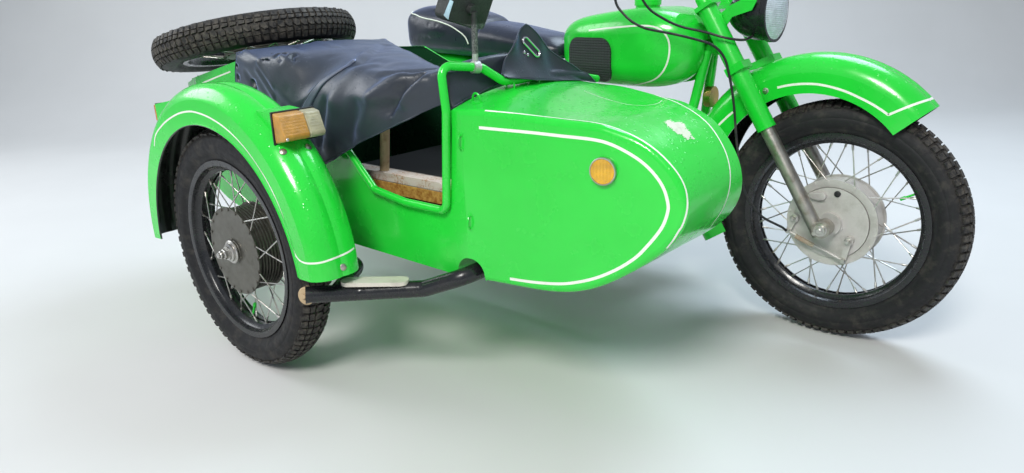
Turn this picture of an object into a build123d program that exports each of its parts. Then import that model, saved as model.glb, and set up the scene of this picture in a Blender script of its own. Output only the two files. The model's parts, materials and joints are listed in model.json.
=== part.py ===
from build123d import *
import os
from math import cos, radians, sin, tan

os.makedirs("parts", exist_ok=True)

# Sidecar motorcycle, in millimetres. +X is forward, +Y is the rider's left, +Z is up.
# Places are written in the motorcycle's own frame: X from the rear axle, Y from the middle plane
# of the motorcycle, Z from the ground. The row's origin is on the ground under the middle of the
# whole outline, so two offsets bring a place into it.
REAR_AXLE_X = -617.5
BIKE_Y = 395

# Driving dimensions
WHEELBASE = 1500
TRACK = 1140
SIDECAR_LEAD = 280
TYRE_R = 342
TYRE_HALF_W = 50
BEAD_R = 241
LIP_R = 255
RIM_HALF_W = 38
AXLE_R = 10
AXLE_CLEARANCE = 0.05
CASTER = 31
SIDECAR_Y = -TRACK
WALL = 5

FRONT_AXLE = (WHEELBASE, 0, TYRE_R)
REAR_AXLE = (0, 0, TYRE_R)
SIDECAR_AXLE = (SIDECAR_LEAD, SIDECAR_Y, TYRE_R)
SPARE_CENTRE = (-270, -696, 868)
LID_SLOPE = 11.3


def at(x, y, z):
    """A place in the motorcycle's frame, as a point of the row's frame."""
    return Vector(REAR_AXLE_X + x, BIKE_Y + y, z)


def side(y):
    """Sketch plane of a side view: local X forward, local Y up, drawn outwards to the right."""
    return Plane(origin=at(0, y, 0), x_dir=(1, 0, 0), z_dir=(0, -1, 0))


def across(x):
    """Sketch plane of a front view: local X to the left, local Y up, drawn forwards."""
    return Plane(origin=at(x, 0, 0), x_dir=(0, 1, 0), z_dir=(1, 0, 0))


def level(z):
    """Sketch plane of a plan view: local X forward, local Y to the left, drawn upwards."""
    return Plane(origin=at(0, 0, z), x_dir=(1, 0, 0), z_dir=(0, 0, 1))


def save(node, solid):
    """Label one finished piece and write it to its own file."""
    solid.label = node
    export_step(solid, f"parts/{node}.step")


def tube(points, radius, bends=None):
    """Round bar through the points, with an arc at each inner point."""
    places = [at(*point) for point in points]
    if bends is None:
        bends = 60
    with BuildPart() as bar:
        with BuildLine() as route:
            if len(places) > 2:
                FilletPolyline(*places, radius=bends)
            else:
                Line(*places)
        start = route.line @ 0
        with BuildSketch(Plane(origin=start, z_dir=route.line % 0)):
            Circle(radius)
        sweep()
    return bar.part


def arc_radii(points):
    """For each inner point of a route, the largest arc that its two runs leave room for."""
    places = [Vector(*point) for point in points]
    radii = []
    for before, here, after in zip(places, places[1:], places[2:]):
        turn = (here - before).get_angle(after - here)
        shorter = min((here - before).length, (after - here).length)
        radii.append(0.45 * shorter / tan(radians(turn / 2)))
    return radii


def rod(start, end, radius):
    """Straight round bar between two places."""
    a = at(*start)
    b = at(*end)
    with BuildPart() as bar:
        with BuildSketch(Plane(origin=a, z_dir=b - a)):
            Circle(radius)
        extrude(amount=(b - a).length)
    return bar.part


def joined(*pieces):
    """Several solids as one piece of one node."""
    with BuildPart() as whole:
        for piece in pieces:
            add(piece)
    return whole.part


def mirrored(piece):
    """The same piece on the other side of the motorcycle's middle plane."""
    return mirror(piece, about=Plane(origin=at(0, 0, 0), x_dir=(1, 0, 0), z_dir=(0, 1, 0)))


# Wheels. One wheel is drawn about the Z axis with the mouth of its brake drum up, and every
# place in the vehicle gets a copy.

HUB_FLANGE_R = 125
HUB_HALF_W = 40
DRUM_R = 103
BARREL_R = 112
FLANGE_T = 5
HUB_WEB_T = 12
HUB_BOSS_R = 26
SPOKES_PER_SIDE = 20
SPOKE_SIZE = 3.6
SPOKE_TWIST = 20
SPOKE_HOLE_R = 119
NIPPLE_R = 223
NIPPLE_Z = 9

with BuildPart() as tyre:
    with BuildSketch(Plane.XZ):
        with BuildLine():
            Line((BEAD_R, -34.5), (BEAD_R, 34.5))
            Line((BEAD_R, 34.5), (256, 34.5))
            ThreePointArc((256, 34.5), (294, TYRE_HALF_W), (328, 43))
            ThreePointArc((328, 43), (TYRE_R, 0), (328, -43))
            ThreePointArc((328, -43), (294, -TYRE_HALF_W), (256, -34.5))
            Line((256, -34.5), (BEAD_R, -34.5))
        make_face()
    revolve(axis=Axis.Z)

with BuildPart() as rim:
    with BuildSketch(Plane.XZ):
        with BuildLine():
            Polyline(
                (LIP_R, 34.5), (BEAD_R, 34.5), (BEAD_R, 22), (226, 15), (226, -15), (BEAD_R, -22),
                (BEAD_R, -34.5), (LIP_R, -34.5), (LIP_R, -RIM_HALF_W), (237, -RIM_HALF_W),
                (235, -20), (221, -13), (221, 13), (235, 20), (237, RIM_HALF_W), (LIP_R, RIM_HALF_W),
                close=True,
            )
        make_face()
    revolve(axis=Axis.Z)

with BuildPart() as hub:
    with BuildSketch(Plane.XZ):
        with BuildLine():
            Polyline(
                (AXLE_R + AXLE_CLEARANCE, -46), (HUB_BOSS_R, -46), (HUB_BOSS_R + 6, -HUB_HALF_W),
                (HUB_FLANGE_R, -HUB_HALF_W), (HUB_FLANGE_R, FLANGE_T - HUB_HALF_W),
                (BARREL_R, FLANGE_T - HUB_HALF_W), (BARREL_R, HUB_HALF_W - FLANGE_T),
                (HUB_FLANGE_R, HUB_HALF_W - FLANGE_T), (HUB_FLANGE_R, HUB_HALF_W),
                (DRUM_R, HUB_HALF_W), (DRUM_R, HUB_WEB_T - HUB_HALF_W),
                (HUB_BOSS_R, HUB_WEB_T - HUB_HALF_W), (HUB_BOSS_R, 28),
                (AXLE_R + AXLE_CLEARANCE, 28), close=True,
            )
        make_face()
    revolve(axis=Axis.Z)

# Two spokes of each flange lean opposite ways, and are repeated round the hub
spokes = []
for flange in (-1, 1):
    for turn in (-1, 1):
        start_angle = radians(turn * 9)
        end_angle = radians(turn * 9 - turn * SPOKE_TWIST)
        start_z = flange * (HUB_HALF_W - FLANGE_T / 2)
        start = Vector(SPOKE_HOLE_R * cos(start_angle), SPOKE_HOLE_R * sin(start_angle), start_z)
        end = Vector(NIPPLE_R * cos(end_angle), NIPPLE_R * sin(end_angle), flange * NIPPLE_Z)
        with BuildPart() as spoke:
            with BuildSketch(Plane(origin=start, z_dir=end - start)):
                Rectangle(SPOKE_SIZE, SPOKE_SIZE)
            extrude(amount=(end - start).length)
        spokes.append(spoke.part)

with BuildPart() as wheel:
    add(hub)
    add(rim)
    with PolarLocations(0, SPOKES_PER_SIDE // 2):
        add(spokes)

# node prefix, centre, rotation in degrees about X, Y, Z
WHEELS = [
    ("front", FRONT_AXLE, (90, 0, 0)),
    ("rear", REAR_AXLE, (90, 0, 0)),
    ("sidecar", SIDECAR_AXLE, (-90, 0, 0)),
    ("spare", SPARE_CENTRE, (0, -LID_SLOPE, 0)),
]
for name, centre, turn in WHEELS:
    place = Location(tuple(at(*centre)), turn)
    save(f"{name}_tyre", tyre.part.moved(place))
    save(f"{name}_wheel", wheel.part.moved(place))

# Front fork. Places along it are given by the distance up a leg, the distance to the left and
# the distance ahead of the legs' plane.

LEG_FOOT = (1477, 346)
LEG_Y = 102
SLIDER_R = 19.5
COVER_R = 27
STEM_SETBACK = -45
STEM_R = 14
HEAD_R = 28
LOWER_YOKE = (478, 500)
UPPER_YOKE = (680, 692)


def fork(up, y, ahead=0):
    """A place on the fork, in the motorcycle's frame."""
    x = LEG_FOOT[0] - sin(radians(CASTER)) * up + cos(radians(CASTER)) * ahead
    z = LEG_FOOT[1] + cos(radians(CASTER)) * up + sin(radians(CASTER)) * ahead
    return (x, y, z)


def fork_plane(up, ahead=0):
    """Sketch plane across the fork's axis: local X ahead, local Y to the left."""
    return Plane(
        origin=at(*fork(up, 0, ahead)),
        x_dir=(cos(radians(CASTER)), 0, sin(radians(CASTER))),
        z_dir=(-sin(radians(CASTER)), 0, cos(radians(CASTER))),
    )


LUG_HALF_W = 20

with BuildPart() as slider:
    with BuildSketch(Plane(origin=at(*fork(-30, LEG_Y)), z_dir=fork_plane(0).z_dir)):
        Circle(SLIDER_R)
    extrude(amount=350)
    with BuildSketch(side(LEG_Y + LUG_HALF_W)):
        with Locations((WHEELBASE, TYRE_R)):
            Circle(24)
    extrude(amount=2 * LUG_HALF_W)
    with BuildSketch(side(LEG_Y + 30)):
        with Locations((WHEELBASE, TYRE_R)):
            Circle(AXLE_R)
    extrude(amount=60, mode=Mode.SUBTRACT)
save("fork_sliders", joined(slider.part, mirrored(slider.part)))

with BuildPart() as cover:
    with BuildSketch(Plane(origin=at(*fork(300, LEG_Y)), z_dir=fork_plane(0).z_dir)):
        Circle(COVER_R)
    extrude(amount=380)
    with BuildSketch(Plane(origin=at(*fork(300, LEG_Y)), z_dir=fork_plane(0).z_dir)):
        Circle(SLIDER_R)
    extrude(amount=20, mode=Mode.SUBTRACT)
    # ear that carries the headlamp
    with BuildSketch(side(LEG_Y - 12)):
        with BuildLine():
            Polyline((1158, 850), (1196, 905), (1252, 922), (1264, 946), (1248, 962), (1185, 935),
                     (1150, 905), close=True)
        make_face()
    extrude(amount=4)
    with BuildSketch(side(LEG_Y - 16)):
        with Locations((1246, 942)):
            Circle(8)
    extrude(amount=8)
save("fork_covers", joined(cover.part, mirrored(cover.part)))

with BuildPart() as yokes:
    for low, high in (LOWER_YOKE, UPPER_YOKE):
        with BuildSketch(fork_plane(low)):
            with BuildLine():
                Polyline((-62, -26), (-62, 26), (-22, 136), (34, 136), (34, 80), (-8, 30),
                         (-8, -30), (34, -80), (34, -136), (-22, -136), close=True)
            make_face()
        extrude(amount=high - low)
    with BuildSketch(fork_plane(LOWER_YOKE[0] - 1)):
        with Locations((0, LEG_Y), (0, -LEG_Y)):
            Circle(COVER_R)
    extrude(amount=24, mode=Mode.SUBTRACT)
    with BuildSketch(fork_plane(LOWER_YOKE[0], STEM_SETBACK)):
        Circle(STEM_R)
    extrude(amount=225)
    # caps on the legs and risers for the handlebar
    with BuildSketch(fork_plane(UPPER_YOKE[1])):
        with Locations((0, LEG_Y), (0, -LEG_Y)):
            Circle(21)
    extrude(amount=25)
    with BuildSketch(fork_plane(UPPER_YOKE[1])):
        with Locations((-18, 55), (-18, -55)):
            Rectangle(26, 22)
    extrude(amount=34)
save("fork_yokes", yokes.part)

NUT_Y = LEG_Y + LUG_HALF_W
front_axle = joined(
    rod((WHEELBASE, NUT_Y, TYRE_R), (WHEELBASE, -NUT_Y, TYRE_R), AXLE_R),
    rod((WHEELBASE, NUT_Y, TYRE_R), (WHEELBASE, NUT_Y + 12, TYRE_R), 15),
    rod((WHEELBASE, -NUT_Y, TYRE_R), (WHEELBASE, -NUT_Y - 12, TYRE_R), 15),
)
save("front_axle", front_axle)

# spindle's place and the lever's end, X and Z
CAM_LEVERS = (((1556, 302), (1548, 244)), ((1401, 343), (1388, 304)))
brake_rod = rod((1386, -59, 305), (1552, -59, 243), 3.5)

with BuildPart() as brake_plate:
    with BuildSketch(side(-33)):
        with Locations((WHEELBASE, TYRE_R)):
            Circle(DRUM_R - 1.5)
    extrude(amount=9)
    with BuildSketch(side(-42)):
        with Locations((WHEELBASE, TYRE_R)):
            Circle(32)
    extrude(amount=14)
    # cam spindles and their levers
    for (x, z), (end_x, end_z) in CAM_LEVERS:
        with BuildSketch(side(-41)):
            with Locations((x, z)):
                Circle(13)
        extrude(amount=15)
        with BuildSketch(side(-52)):
            with BuildLine():
                Polyline((x - 9, z + 2), (x + 9, z - 2), (end_x + 6, end_z - 4), (end_x - 6, end_z + 2), close=True)
            make_face()
        extrude(amount=5)
    add(brake_rod)
    with BuildSketch(side(-32)):
        with Locations((WHEELBASE, TYRE_R)):
            Circle(AXLE_R)
    extrude(amount=40, mode=Mode.SUBTRACT)
save("front_brake_plate", brake_plate.part)

# Headlamp: a spun shell with a chrome rim, and its glass

LAMP_X = 1286
LAMP_Z = 915
LAMP_R = 84

with BuildPart() as headlamp:
    with BuildSketch(side(0)):
        with BuildLine():
            Polyline((LAMP_X - 136, LAMP_Z + 24), (LAMP_X - 136, LAMP_Z), (LAMP_X, LAMP_Z),
                     (LAMP_X, LAMP_Z + LAMP_R), (LAMP_X - 14, LAMP_Z + LAMP_R),
                     (LAMP_X - 18, LAMP_Z + LAMP_R - 6))
            ThreePointArc((LAMP_X - 18, LAMP_Z + LAMP_R - 6), (LAMP_X - 96, LAMP_Z + 62),
                          (LAMP_X - 136, LAMP_Z + 24))
        make_face()
    revolve(axis=Axis(at(LAMP_X, 0, LAMP_Z), (1, 0, 0)))
save("headlamp", headlamp.part)

with BuildPart() as headlamp_glass:
    with BuildSketch(side(0)):
        with BuildLine():
            Line((LAMP_X, LAMP_Z), (LAMP_X + 20, LAMP_Z))
            ThreePointArc((LAMP_X + 20, LAMP_Z), (LAMP_X + 15, LAMP_Z + 42), (LAMP_X, LAMP_Z + 76))
            Line((LAMP_X, LAMP_Z + 76), (LAMP_X, LAMP_Z))
        make_face()
    revolve(axis=Axis(at(LAMP_X, 0, LAMP_Z), (1, 0, 0)))
save("headlamp_glass", headlamp_glass.part)

# Handlebar with its levers, and the rubber grips

BAR_R = 11
MIRROR_HOLE_R = 4.25
bar_centre = fork(UPPER_YOKE[1] + 45, 0, -18)
BAR_END = (900, 392, 1088)
BAR_BEND = (1040, 250, 1080)
bar_half = [
    (bar_centre[0], 0, bar_centre[2]),
    (bar_centre[0], 75, bar_centre[2]),
    BAR_BEND,
    BAR_END,
]


def along_bar(distance):
    """Place at a distance in from the left end of the handlebar."""
    a = Vector(*BAR_END)
    b = Vector(*BAR_BEND)
    return tuple(a + (b - a).normalized() * distance)


bar_left = tube(bar_half, BAR_R, 45)
lever_blade = joined(
    rod(along_bar(150), tuple(Vector(*along_bar(150)) + Vector(34, 20, -4)), 9),
    rod(tuple(Vector(*along_bar(150)) + Vector(34, 20, -4)),
        tuple(Vector(*along_bar(10)) + Vector(52, 38, -8)), 5.5),
)
boss_at = Vector(*along_bar(158)) + Vector(0, 0, BAR_R - 3)
with BuildPart() as mirror_boss:
    with BuildSketch(Plane(origin=at(*tuple(boss_at)), z_dir=(0, 0, 1))):
        Circle(9)
    extrude(amount=20)
    with BuildSketch(Plane(origin=at(*tuple(boss_at)) + Vector(0, 0, 20), z_dir=(0, 0, 1))):
        Circle(MIRROR_HOLE_R)
    extrude(amount=-15, mode=Mode.SUBTRACT)
print("mirror hole mouth, row frame", at(*tuple(boss_at)) + Vector(0, 0, 20))
handlebar = joined(bar_left, mirrored(bar_left), lever_blade, mirrored(lever_blade),
                   mirror_boss.part, mirrored(mirror_boss.part))
save("handlebar", handlebar)

with BuildPart() as grip:
    grip_dir = Vector(*along_bar(1)) - Vector(*along_bar(0))
    with BuildSketch(Plane(origin=at(*along_bar(0)), z_dir=grip_dir)):
        Circle(17)
        Circle(BAR_R, mode=Mode.SUBTRACT)
    extrude(amount=120)
save("hand_grips", joined(grip.part, mirrored(grip.part)))


# Control cables from the right of the handlebar: one goes down to the front brake, whole, and one
# into the headlamp's shell

CABLE_R = 3.5
BRAKE_ROUTE = [
    (1030, -300, 1079), (984, -318, 1034), (940, -310, 962), (1010, -296, 890), (1118, -222, 862),
    (1206, -158, 828), (1236, -142, 700), (1252, -138, 560), (1278, -134, 424), (1326, -120, 352),
    (1378, -78, 318), (1386, -66, 306),
]
LAMP_ROUTE = [
    (1010, -280, 1082), (984, -262, 1030), (1000, -236, 940), (1076, -186, 886), (1150, -154, 868),
    (1208, -142, 850), (1242, -100, 842), (1240, -48, 850), (1238, -24, 862),
]
print("brake cable arcs, mm", [round(radius) for radius in arc_radii(BRAKE_ROUTE)])
print("lamp cable arcs, mm", [round(radius) for radius in arc_radii(LAMP_ROUTE)])
brake_cable = tube(BRAKE_ROUTE, CABLE_R, arc_radii(BRAKE_ROUTE))
lamp_cable = tube(LAMP_ROUTE, CABLE_R, arc_radii(LAMP_ROUTE))
with BuildPart() as handlebar_cables:
    add([brake_cable, lamp_cable])
    add([headlamp.part, handlebar], mode=Mode.SUBTRACT)
save("handlebar_cables", handlebar_cables.part)

# Fenders: a section spun about a centre, open below

def fender(centre, ridge_r, skirt_r, half_w, start, end, thickness=4):
    """Fender whose centre is in the motorcycle's frame; angles in degrees up from straight ahead."""
    x, y, z = centre
    shoulder = ridge_r - (ridge_r - skirt_r) * 0.45
    crown = ridge_r - (ridge_r - skirt_r) * 0.10
    inner = half_w - thickness
    axis = Axis(at(x, y, z), (0, -1, 0))
    base = Plane(origin=at(x, y, z), x_dir=(1, 0, 0), z_dir=(0, 0, 1)).rotated((0, -start, 0))
    with BuildPart() as shell:
        with BuildSketch(base):
            with BuildLine():
                Line((skirt_r, -half_w), (shoulder, -half_w))
                ThreePointArc((shoulder, -half_w), (crown, -half_w * 0.72), (ridge_r, 0))
                ThreePointArc((ridge_r, 0), (crown, half_w * 0.72), (shoulder, half_w))
                Polyline((shoulder, half_w), (skirt_r, half_w), (skirt_r, inner), (shoulder, inner))
                ThreePointArc((shoulder, inner), (crown - thickness, inner * 0.72),
                              (ridge_r - thickness, 0))
                ThreePointArc((ridge_r - thickness, 0), (crown - thickness, -inner * 0.72),
                              (shoulder, -inner))
                Polyline((shoulder, -inner), (skirt_r, -inner), (skirt_r, -half_w))
            make_face()
        revolve(axis=axis, revolution_arc=end - start)
    return shell.part


FRONT_FENDER = (1432, 0, 427)
front_shell = fender(FRONT_FENDER, 377, 276, 71, 41, 214)
fender_tabs = [
    rod((x, 71, z), (x, 75, z), 9) for x, z in ((1258, 703), (1276, 668))
]
save("front_fender", joined(front_shell, *fender_tabs, *[mirrored(t) for t in fender_tabs]))

REAR_FENDER = ((0, 0, TYRE_R), 446, 350, 82, 40, 205)
save("rear_fender", fender(*REAR_FENDER))
rear_fender_solid = fender(*REAR_FENDER, thickness=70)

SIDECAR_FENDER_HALF_W = 70
SIDECAR_FENDER = (276, -1145, TYRE_R)
save("sidecar_fender", fender(SIDECAR_FENDER, 455, 375, SIDECAR_FENDER_HALF_W, 2, 184))
sidecar_fender_solid = fender(SIDECAR_FENDER, 455, 375, SIDECAR_FENDER_HALF_W, 2, 184, 60)

# Main frame: head tube, backbone, twin cradle tubes and the rear loop

with BuildPart() as head_tube:
    with BuildSketch(fork_plane(506, STEM_SETBACK)):
        Circle(HEAD_R)
        Circle(STEM_R + AXLE_CLEARANCE, mode=Mode.SUBTRACT)
    extrude(amount=160)

cradle = tube(
    [(1092, 20, 806), (1012, 90, 340), (956, 114, 262), (600, 112, 262), (556, 112, 330),
     (470, 100, 738)],
    15, 50,
)
seat_rail = tube([(570, 20, 746), (450, 92, 742), (-260, 96, 752)], 12, 60)
diagonal = rod((528, 110, 450), (20, 98, 744), 11)
backbone = rod((1120, 0, 812), (540, 0, 742), 19)
pivot_lug = rod((520, 97, 335), (520, 116, 335), 26)
damper_lug = rod((36, 102, 694), (36, 102, 748), 9)
crosses = [
    rod((600, -112, 258), (600, 112, 258), 13),
    rod((-230, -96, 751), (-230, 96, 751), 10),
    rod((470, -100, 738), (470, 100, 738), 12),
]
STAND_X = 600
STAND_Z = 225
STAND_PIVOT_R = 12
with BuildPart() as stand_lug:
    with BuildSketch(side(108)):
        with Locations((STAND_X, STAND_Z)):
            Circle(21)
        with Locations((STAND_X, STAND_Z + 18)):
            Rectangle(42, 36)
        with Locations((STAND_X, STAND_Z)):
            Circle(STAND_PIVOT_R + AXLE_CLEARANCE, mode=Mode.SUBTRACT)
    extrude(amount=11)
with BuildPart() as main_frame:
    add(cradle)
    add(mirrored(cradle))
    for piece in (seat_rail, diagonal, pivot_lug, damper_lug, stand_lug.part):
        add(piece)
        add(mirrored(piece))
    add(backbone)
    add(crosses)
    with BuildSketch(fork_plane(505, STEM_SETBACK)):
        Circle(HEAD_R - 2)
    extrude(amount=162, mode=Mode.SUBTRACT)
    add(head_tube)
save("main_frame", main_frame.part)

# Engine: crankcase, front cover, generator and gearbox in one casting, open to view

CRANK_Z = 405
CYLINDER_X = 900

intake = tube([(655, 30, 540), (655, 150, 540), (675, 215, 470), (705, 215, 434), (744.7, 215, 434)], 15, 24)
kick_lever = joined(
    rod((612, 70, 372), (612, 134, 372), 11),
    rod((612, 128, 372), (572, 128, 530), 8),
    rod((572, 122, 528), (572, 178, 528), 9),
)
gear_pedal = joined(
    rod((690, 76, 330), (690, 142, 330), 8),
    rod((690, 132, 330), (752, 132, 306), 6),
    rod((752, 122, 306), (752, 172, 306), 9),
)
with BuildPart() as engine:
    with BuildSketch(side(92)):
        with BuildLine():
            Polyline((770, 290), (800, 240), (930, 240), (966, 290), (966, 520), (940, 560),
                     (800, 560), (770, 520), close=True)
        make_face()
    extrude(amount=184)
    with BuildSketch(side(78)):
        with BuildLine():
            Polyline((556, 330), (585, 288), (770, 288), (770, 520), (650, 500), (556, 420), close=True)
        make_face()
    extrude(amount=156)
    with BuildSketch(across(966)):
        with Locations((0, 430)):
            Circle(88)
    extrude(amount=32)
    with BuildSketch(across(998)):
        with Locations((0, 430)):
            Circle(60)
    extrude(amount=10)
    with BuildSketch(across(840)):
        with Locations((0, 590)):
            Circle(52)
    extrude(amount=150)
    with BuildSketch(across(990)):
        with Locations((0, 590)):
            Circle(40)
    extrude(amount=12)
    # cooling ribs under the sump
    for index in range(6):
        with BuildSketch(across(806 + 20 * index)):
            with Locations((0, 234)):
                Rectangle(150, 14)
        extrude(amount=5)
    # air cleaner on the gearbox, with an elbow to each carburettor
    with BuildSketch(level(480)):
        with Locations((655, 0)):
            Circle(62)
    extrude(amount=96)
    with BuildSketch(level(576)):
        with Locations((655, 0)):
            Circle(66)
    extrude(amount=14)
    with BuildSketch(side(110)):
        with Locations((CYLINDER_X, CRANK_Z)):
            Circle(62)
    extrude(amount=220)
    add([intake, mirrored(intake), kick_lever, gear_pedal])
save("engine", engine.part)

FIN_PITCH = 10
with BuildPart() as cylinder:
    with BuildSketch(side(-110)):
        with Locations((CYLINDER_X, CRANK_Z)):
            Circle(54)
    extrude(amount=90)
    for index in range(7):
        with BuildSketch(side(-118 - FIN_PITCH * index)):
            with Locations((CYLINDER_X, CRANK_Z)):
                Circle(70)
        extrude(amount=3)
    with BuildSketch(side(-196)):
        with Locations((CYLINDER_X, CRANK_Z)):
            RectangleRounded(120, 110, 24)
    extrude(amount=66)
    for index in range(5):
        with BuildSketch(side(-200 - FIN_PITCH * index)):
            with Locations((CYLINDER_X, CRANK_Z)):
                RectangleRounded(150, 136, 30)
        extrude(amount=3)
    with BuildSketch(side(-262)):
        with Locations((CYLINDER_X, CRANK_Z)):
            RectangleRounded(132, 116, 26)
    extrude(amount=38)
push_tubes = [
    rod((CYLINDER_X + offset, -111, CRANK_Z + 60), (CYLINDER_X + offset, -212, CRANK_Z + 54), 9)
    for offset in (-26, 26)
]
head = joined(cylinder.part, *push_tubes)
save("cylinders", joined(head, mirrored(head)))

carburettor = joined(
    rod((745, -215, 434), (CYLINDER_X - 75.2, -215, 434), 21),
    rod((785, -215, 378), (785, -215, 470), 19),
)
save("carburettors", joined(carburettor, mirrored(carburettor)))

exhaust_pipe = tube([(CYLINDER_X + 79, -228, 377), (1032, -228, 366), (1014, -215, 230), (920, -188, 186),
                     (240, -186, 196)], 19, 30)
with BuildPart() as exhaust:
    add(exhaust_pipe)
    with BuildSketch(Plane(origin=at(250, -186, 196), z_dir=(-1, 0, 0.05))):
        Circle(20)
    with BuildSketch(Plane(origin=at(180, -186, 199), z_dir=(-1, 0, 0.05))):
        Circle(42)
    loft()
    with BuildSketch(Plane(origin=at(180, -186, 199), z_dir=(-1, 0, 0.05))):
        Circle(42)
    extrude(amount=430)
    with BuildSketch(Plane(origin=at(-249, -186, 220.45), z_dir=(-1, 0, 0.05))):
        Circle(42)
    with BuildSketch(Plane(origin=at(-339.4, -186, 225), z_dir=(-1, 0, 0.05))):
        Circle(20)
    loft()
save("exhausts", joined(exhaust.part, mirrored(exhaust.part)))

# Fuel tank: sections from front to back, hollowed below for the backbone

# distance from the rear axle, half width, lowest and highest point, corner radius
TANK_SECTIONS = [
    (1092, 56, 792, 860, 30),
    (1050, 108, 726, 904, 56),
    (960, 144, 700, 932, 70),
    (800, 140, 700, 928, 70),
    (660, 106, 712, 908, 54),
    (592, 70, 750, 880, 40),
]


def tank_form(grow):
    """Solid tank, its sections larger all round by a given amount."""
    with BuildPart() as form:
        for x, half_w, low, high, corner in TANK_SECTIONS:
            with BuildSketch(across(x)):
                with Locations((0, (low + high) / 2)):
                    RectangleRounded(2 * half_w + 2 * grow, high - low + 2 * grow, corner + grow)
        loft()
    return form.part


tank_solid = tank_form(0)
tank_padded = tank_form(8)
with BuildPart() as fuel_tank:
    add(tank_solid)
    with BuildSketch(across(560)):
        with Locations((0, 745)):
            Rectangle(84, 190)
    extrude(amount=560, mode=Mode.SUBTRACT)
    with BuildSketch(fork_plane(470, STEM_SETBACK)):
        Circle(HEAD_R + 8)
    extrude(amount=240, mode=Mode.SUBTRACT)
    # hollows in the front shoulders, which the upper yoke swings over at full lock
    with BuildSketch(fork_plane(UPPER_YOKE[0] - 7, STEM_SETBACK)):
        with BuildLine():
            Polyline((-38, 16), (-66, 150), (120, 150), (120, -150), (-66, -150), (-38, -16), close=True)
        make_face()
    extrude(amount=90, mode=Mode.SUBTRACT)
    with BuildSketch(level(915)):
        with Locations((871, 0)):
            Circle(38)
    extrude(amount=26)
    with BuildSketch(level(941)):
        with Locations((871, 0)):
            Circle(42)
    extrude(amount=22)
save("fuel_tank", fuel_tank.part)

with BuildPart() as knee_pad:
    with BuildSketch(side(-60)):
        with Locations((735, 781)):
            RectangleRounded(192, 138, 44)
    extrude(amount=120)
    add(tank_padded, mode=Mode.INTERSECT)
    add(tank_solid, mode=Mode.SUBTRACT)
save("knee_pads", joined(knee_pad.part, mirrored(knee_pad.part)))

# Dual seat, padded, on the seat rails
with BuildPart() as dual_seat:
    with BuildSketch(side(135)):
        with BuildLine():
            Polyline((588, 772), (588, 800), (560, 872), (400, 872), (330, 905), (300, 925), (-120, 940),
                     (-170, 905), (-176, 830), (-150, 792), (180, 792), (230, 768), (560, 768), close=True)
        make_face()
    extrude(amount=270)
    fillet(dual_seat.edges().filter_by(Axis.Y).group_by(Axis.Z)[-1], 20)
save("dual_seat", dual_seat.part)

# Rear suspension: the left arm, the shaft housing on the right, the final drive and two dampers

swing_pieces = [
    tube([(520, 74, 335), (330, 96, 335), (-34, 96, TYRE_R)], 17, 60),
    rod((488, -96, TYRE_R + 2), (97, -96, TYRE_R + 2), 27),
    rod((520, -74, 335), (440, -92, TYRE_R), 17),
    rod((520, 96, 335), (520, -96, 335), 16),
    rod((-14, 96, 345), (-14, 96, 386), 9),
]
with BuildPart() as swingarm:
    add(swing_pieces)
    with BuildSketch(side(130)):
        with Locations((0, TYRE_R)):
            Circle(AXLE_R)
    extrude(amount=60, mode=Mode.SUBTRACT)
save("swingarm", swingarm.part)

drive_neck = rod((40, -96, TYRE_R + 2), (96.8, -96, TYRE_R + 2), 27)
with BuildPart() as final_drive:
    with BuildSketch(side(-33)):
        with Locations((0, TYRE_R)):
            Circle(DRUM_R - 1.5)
    extrude(amount=9)
    with BuildSketch(side(-42)):
        with Locations((0, TYRE_R)):
            Circle(92)
    extrude(amount=40)
    with BuildSketch(side(-82)):
        with Locations((0, TYRE_R)):
            Circle(40)
    extrude(amount=20)
    add(drive_neck)
    with BuildSketch(side(-30)):
        with Locations((0, TYRE_R)):
            Circle(AXLE_R)
    extrude(amount=100, mode=Mode.SUBTRACT)
save("final_drive", final_drive.part)

rear_axle = joined(
    rod((0, 124, TYRE_R), (0, -103, TYRE_R), AXLE_R),
    rod((0, 114, TYRE_R), (0, 126, TYRE_R), 15),
)
save("rear_axle", rear_axle)

DAMPER_Y = 140


def damper(side_sign, inner_y):
    """Spring leg with its studs; inner_y is where the lower stud meets the arm or the drive."""
    y = side_sign * DAMPER_Y
    return joined(
        rod((-14, y, 372), (12, y, 520), 19),
        rod((12, y, 520), (36, y, 690), 25),
        rod((36, y, 680), (36, y, 712), 12),
        rod((-14, y, 360), (-14, y, 384), 12),
        rod((-14, y, 372), (-14, side_sign * inner_y, 372), 8),
        rod((36, y, 704), (36, side_sign * 111, 704), 8),
    )


save("dampers", joined(damper(1, 105.2), damper(-1, 102.2)))

lamp_body = rod((-340, 0, 602), (-418, 0, 618), 32)
with BuildPart() as tail_lamp:
    add(lamp_body)
    add(rear_fender_solid, mode=Mode.SUBTRACT)
save("tail_lamp", tail_lamp.part)

# Bracket for a number plate, with its two bolt holes
PLATE_Z = 520
PLATE_HOLES = 60
with BuildPart() as plate_bracket:
    with BuildSketch(across(-452)):
        with Locations((0, PLATE_Z)):
            RectangleRounded(120, 56, 8)
    extrude(amount=4)
    with BuildSketch(across(-448)):
        with Locations((-12, PLATE_Z), (12, PLATE_Z)):
            Rectangle(6, 44)
    extrude(amount=60)
    with BuildSketch(across(-453)):
        with Locations((-PLATE_HOLES / 2, PLATE_Z), (PLATE_HOLES / 2, PLATE_Z)):
            Circle(3.3)
    extrude(amount=8, mode=Mode.SUBTRACT)
    add(rear_fender_solid, mode=Mode.SUBTRACT)
save("plate_bracket", plate_bracket.part)

horn = rod((1087, 0, 668), (1109, 0, 668), 32)
save("horn", horn)

pegs = rod((640, 127.2, 262), (640, 250, 262), 13)
save("foot_pegs", joined(pegs, mirrored(pegs)))

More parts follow.
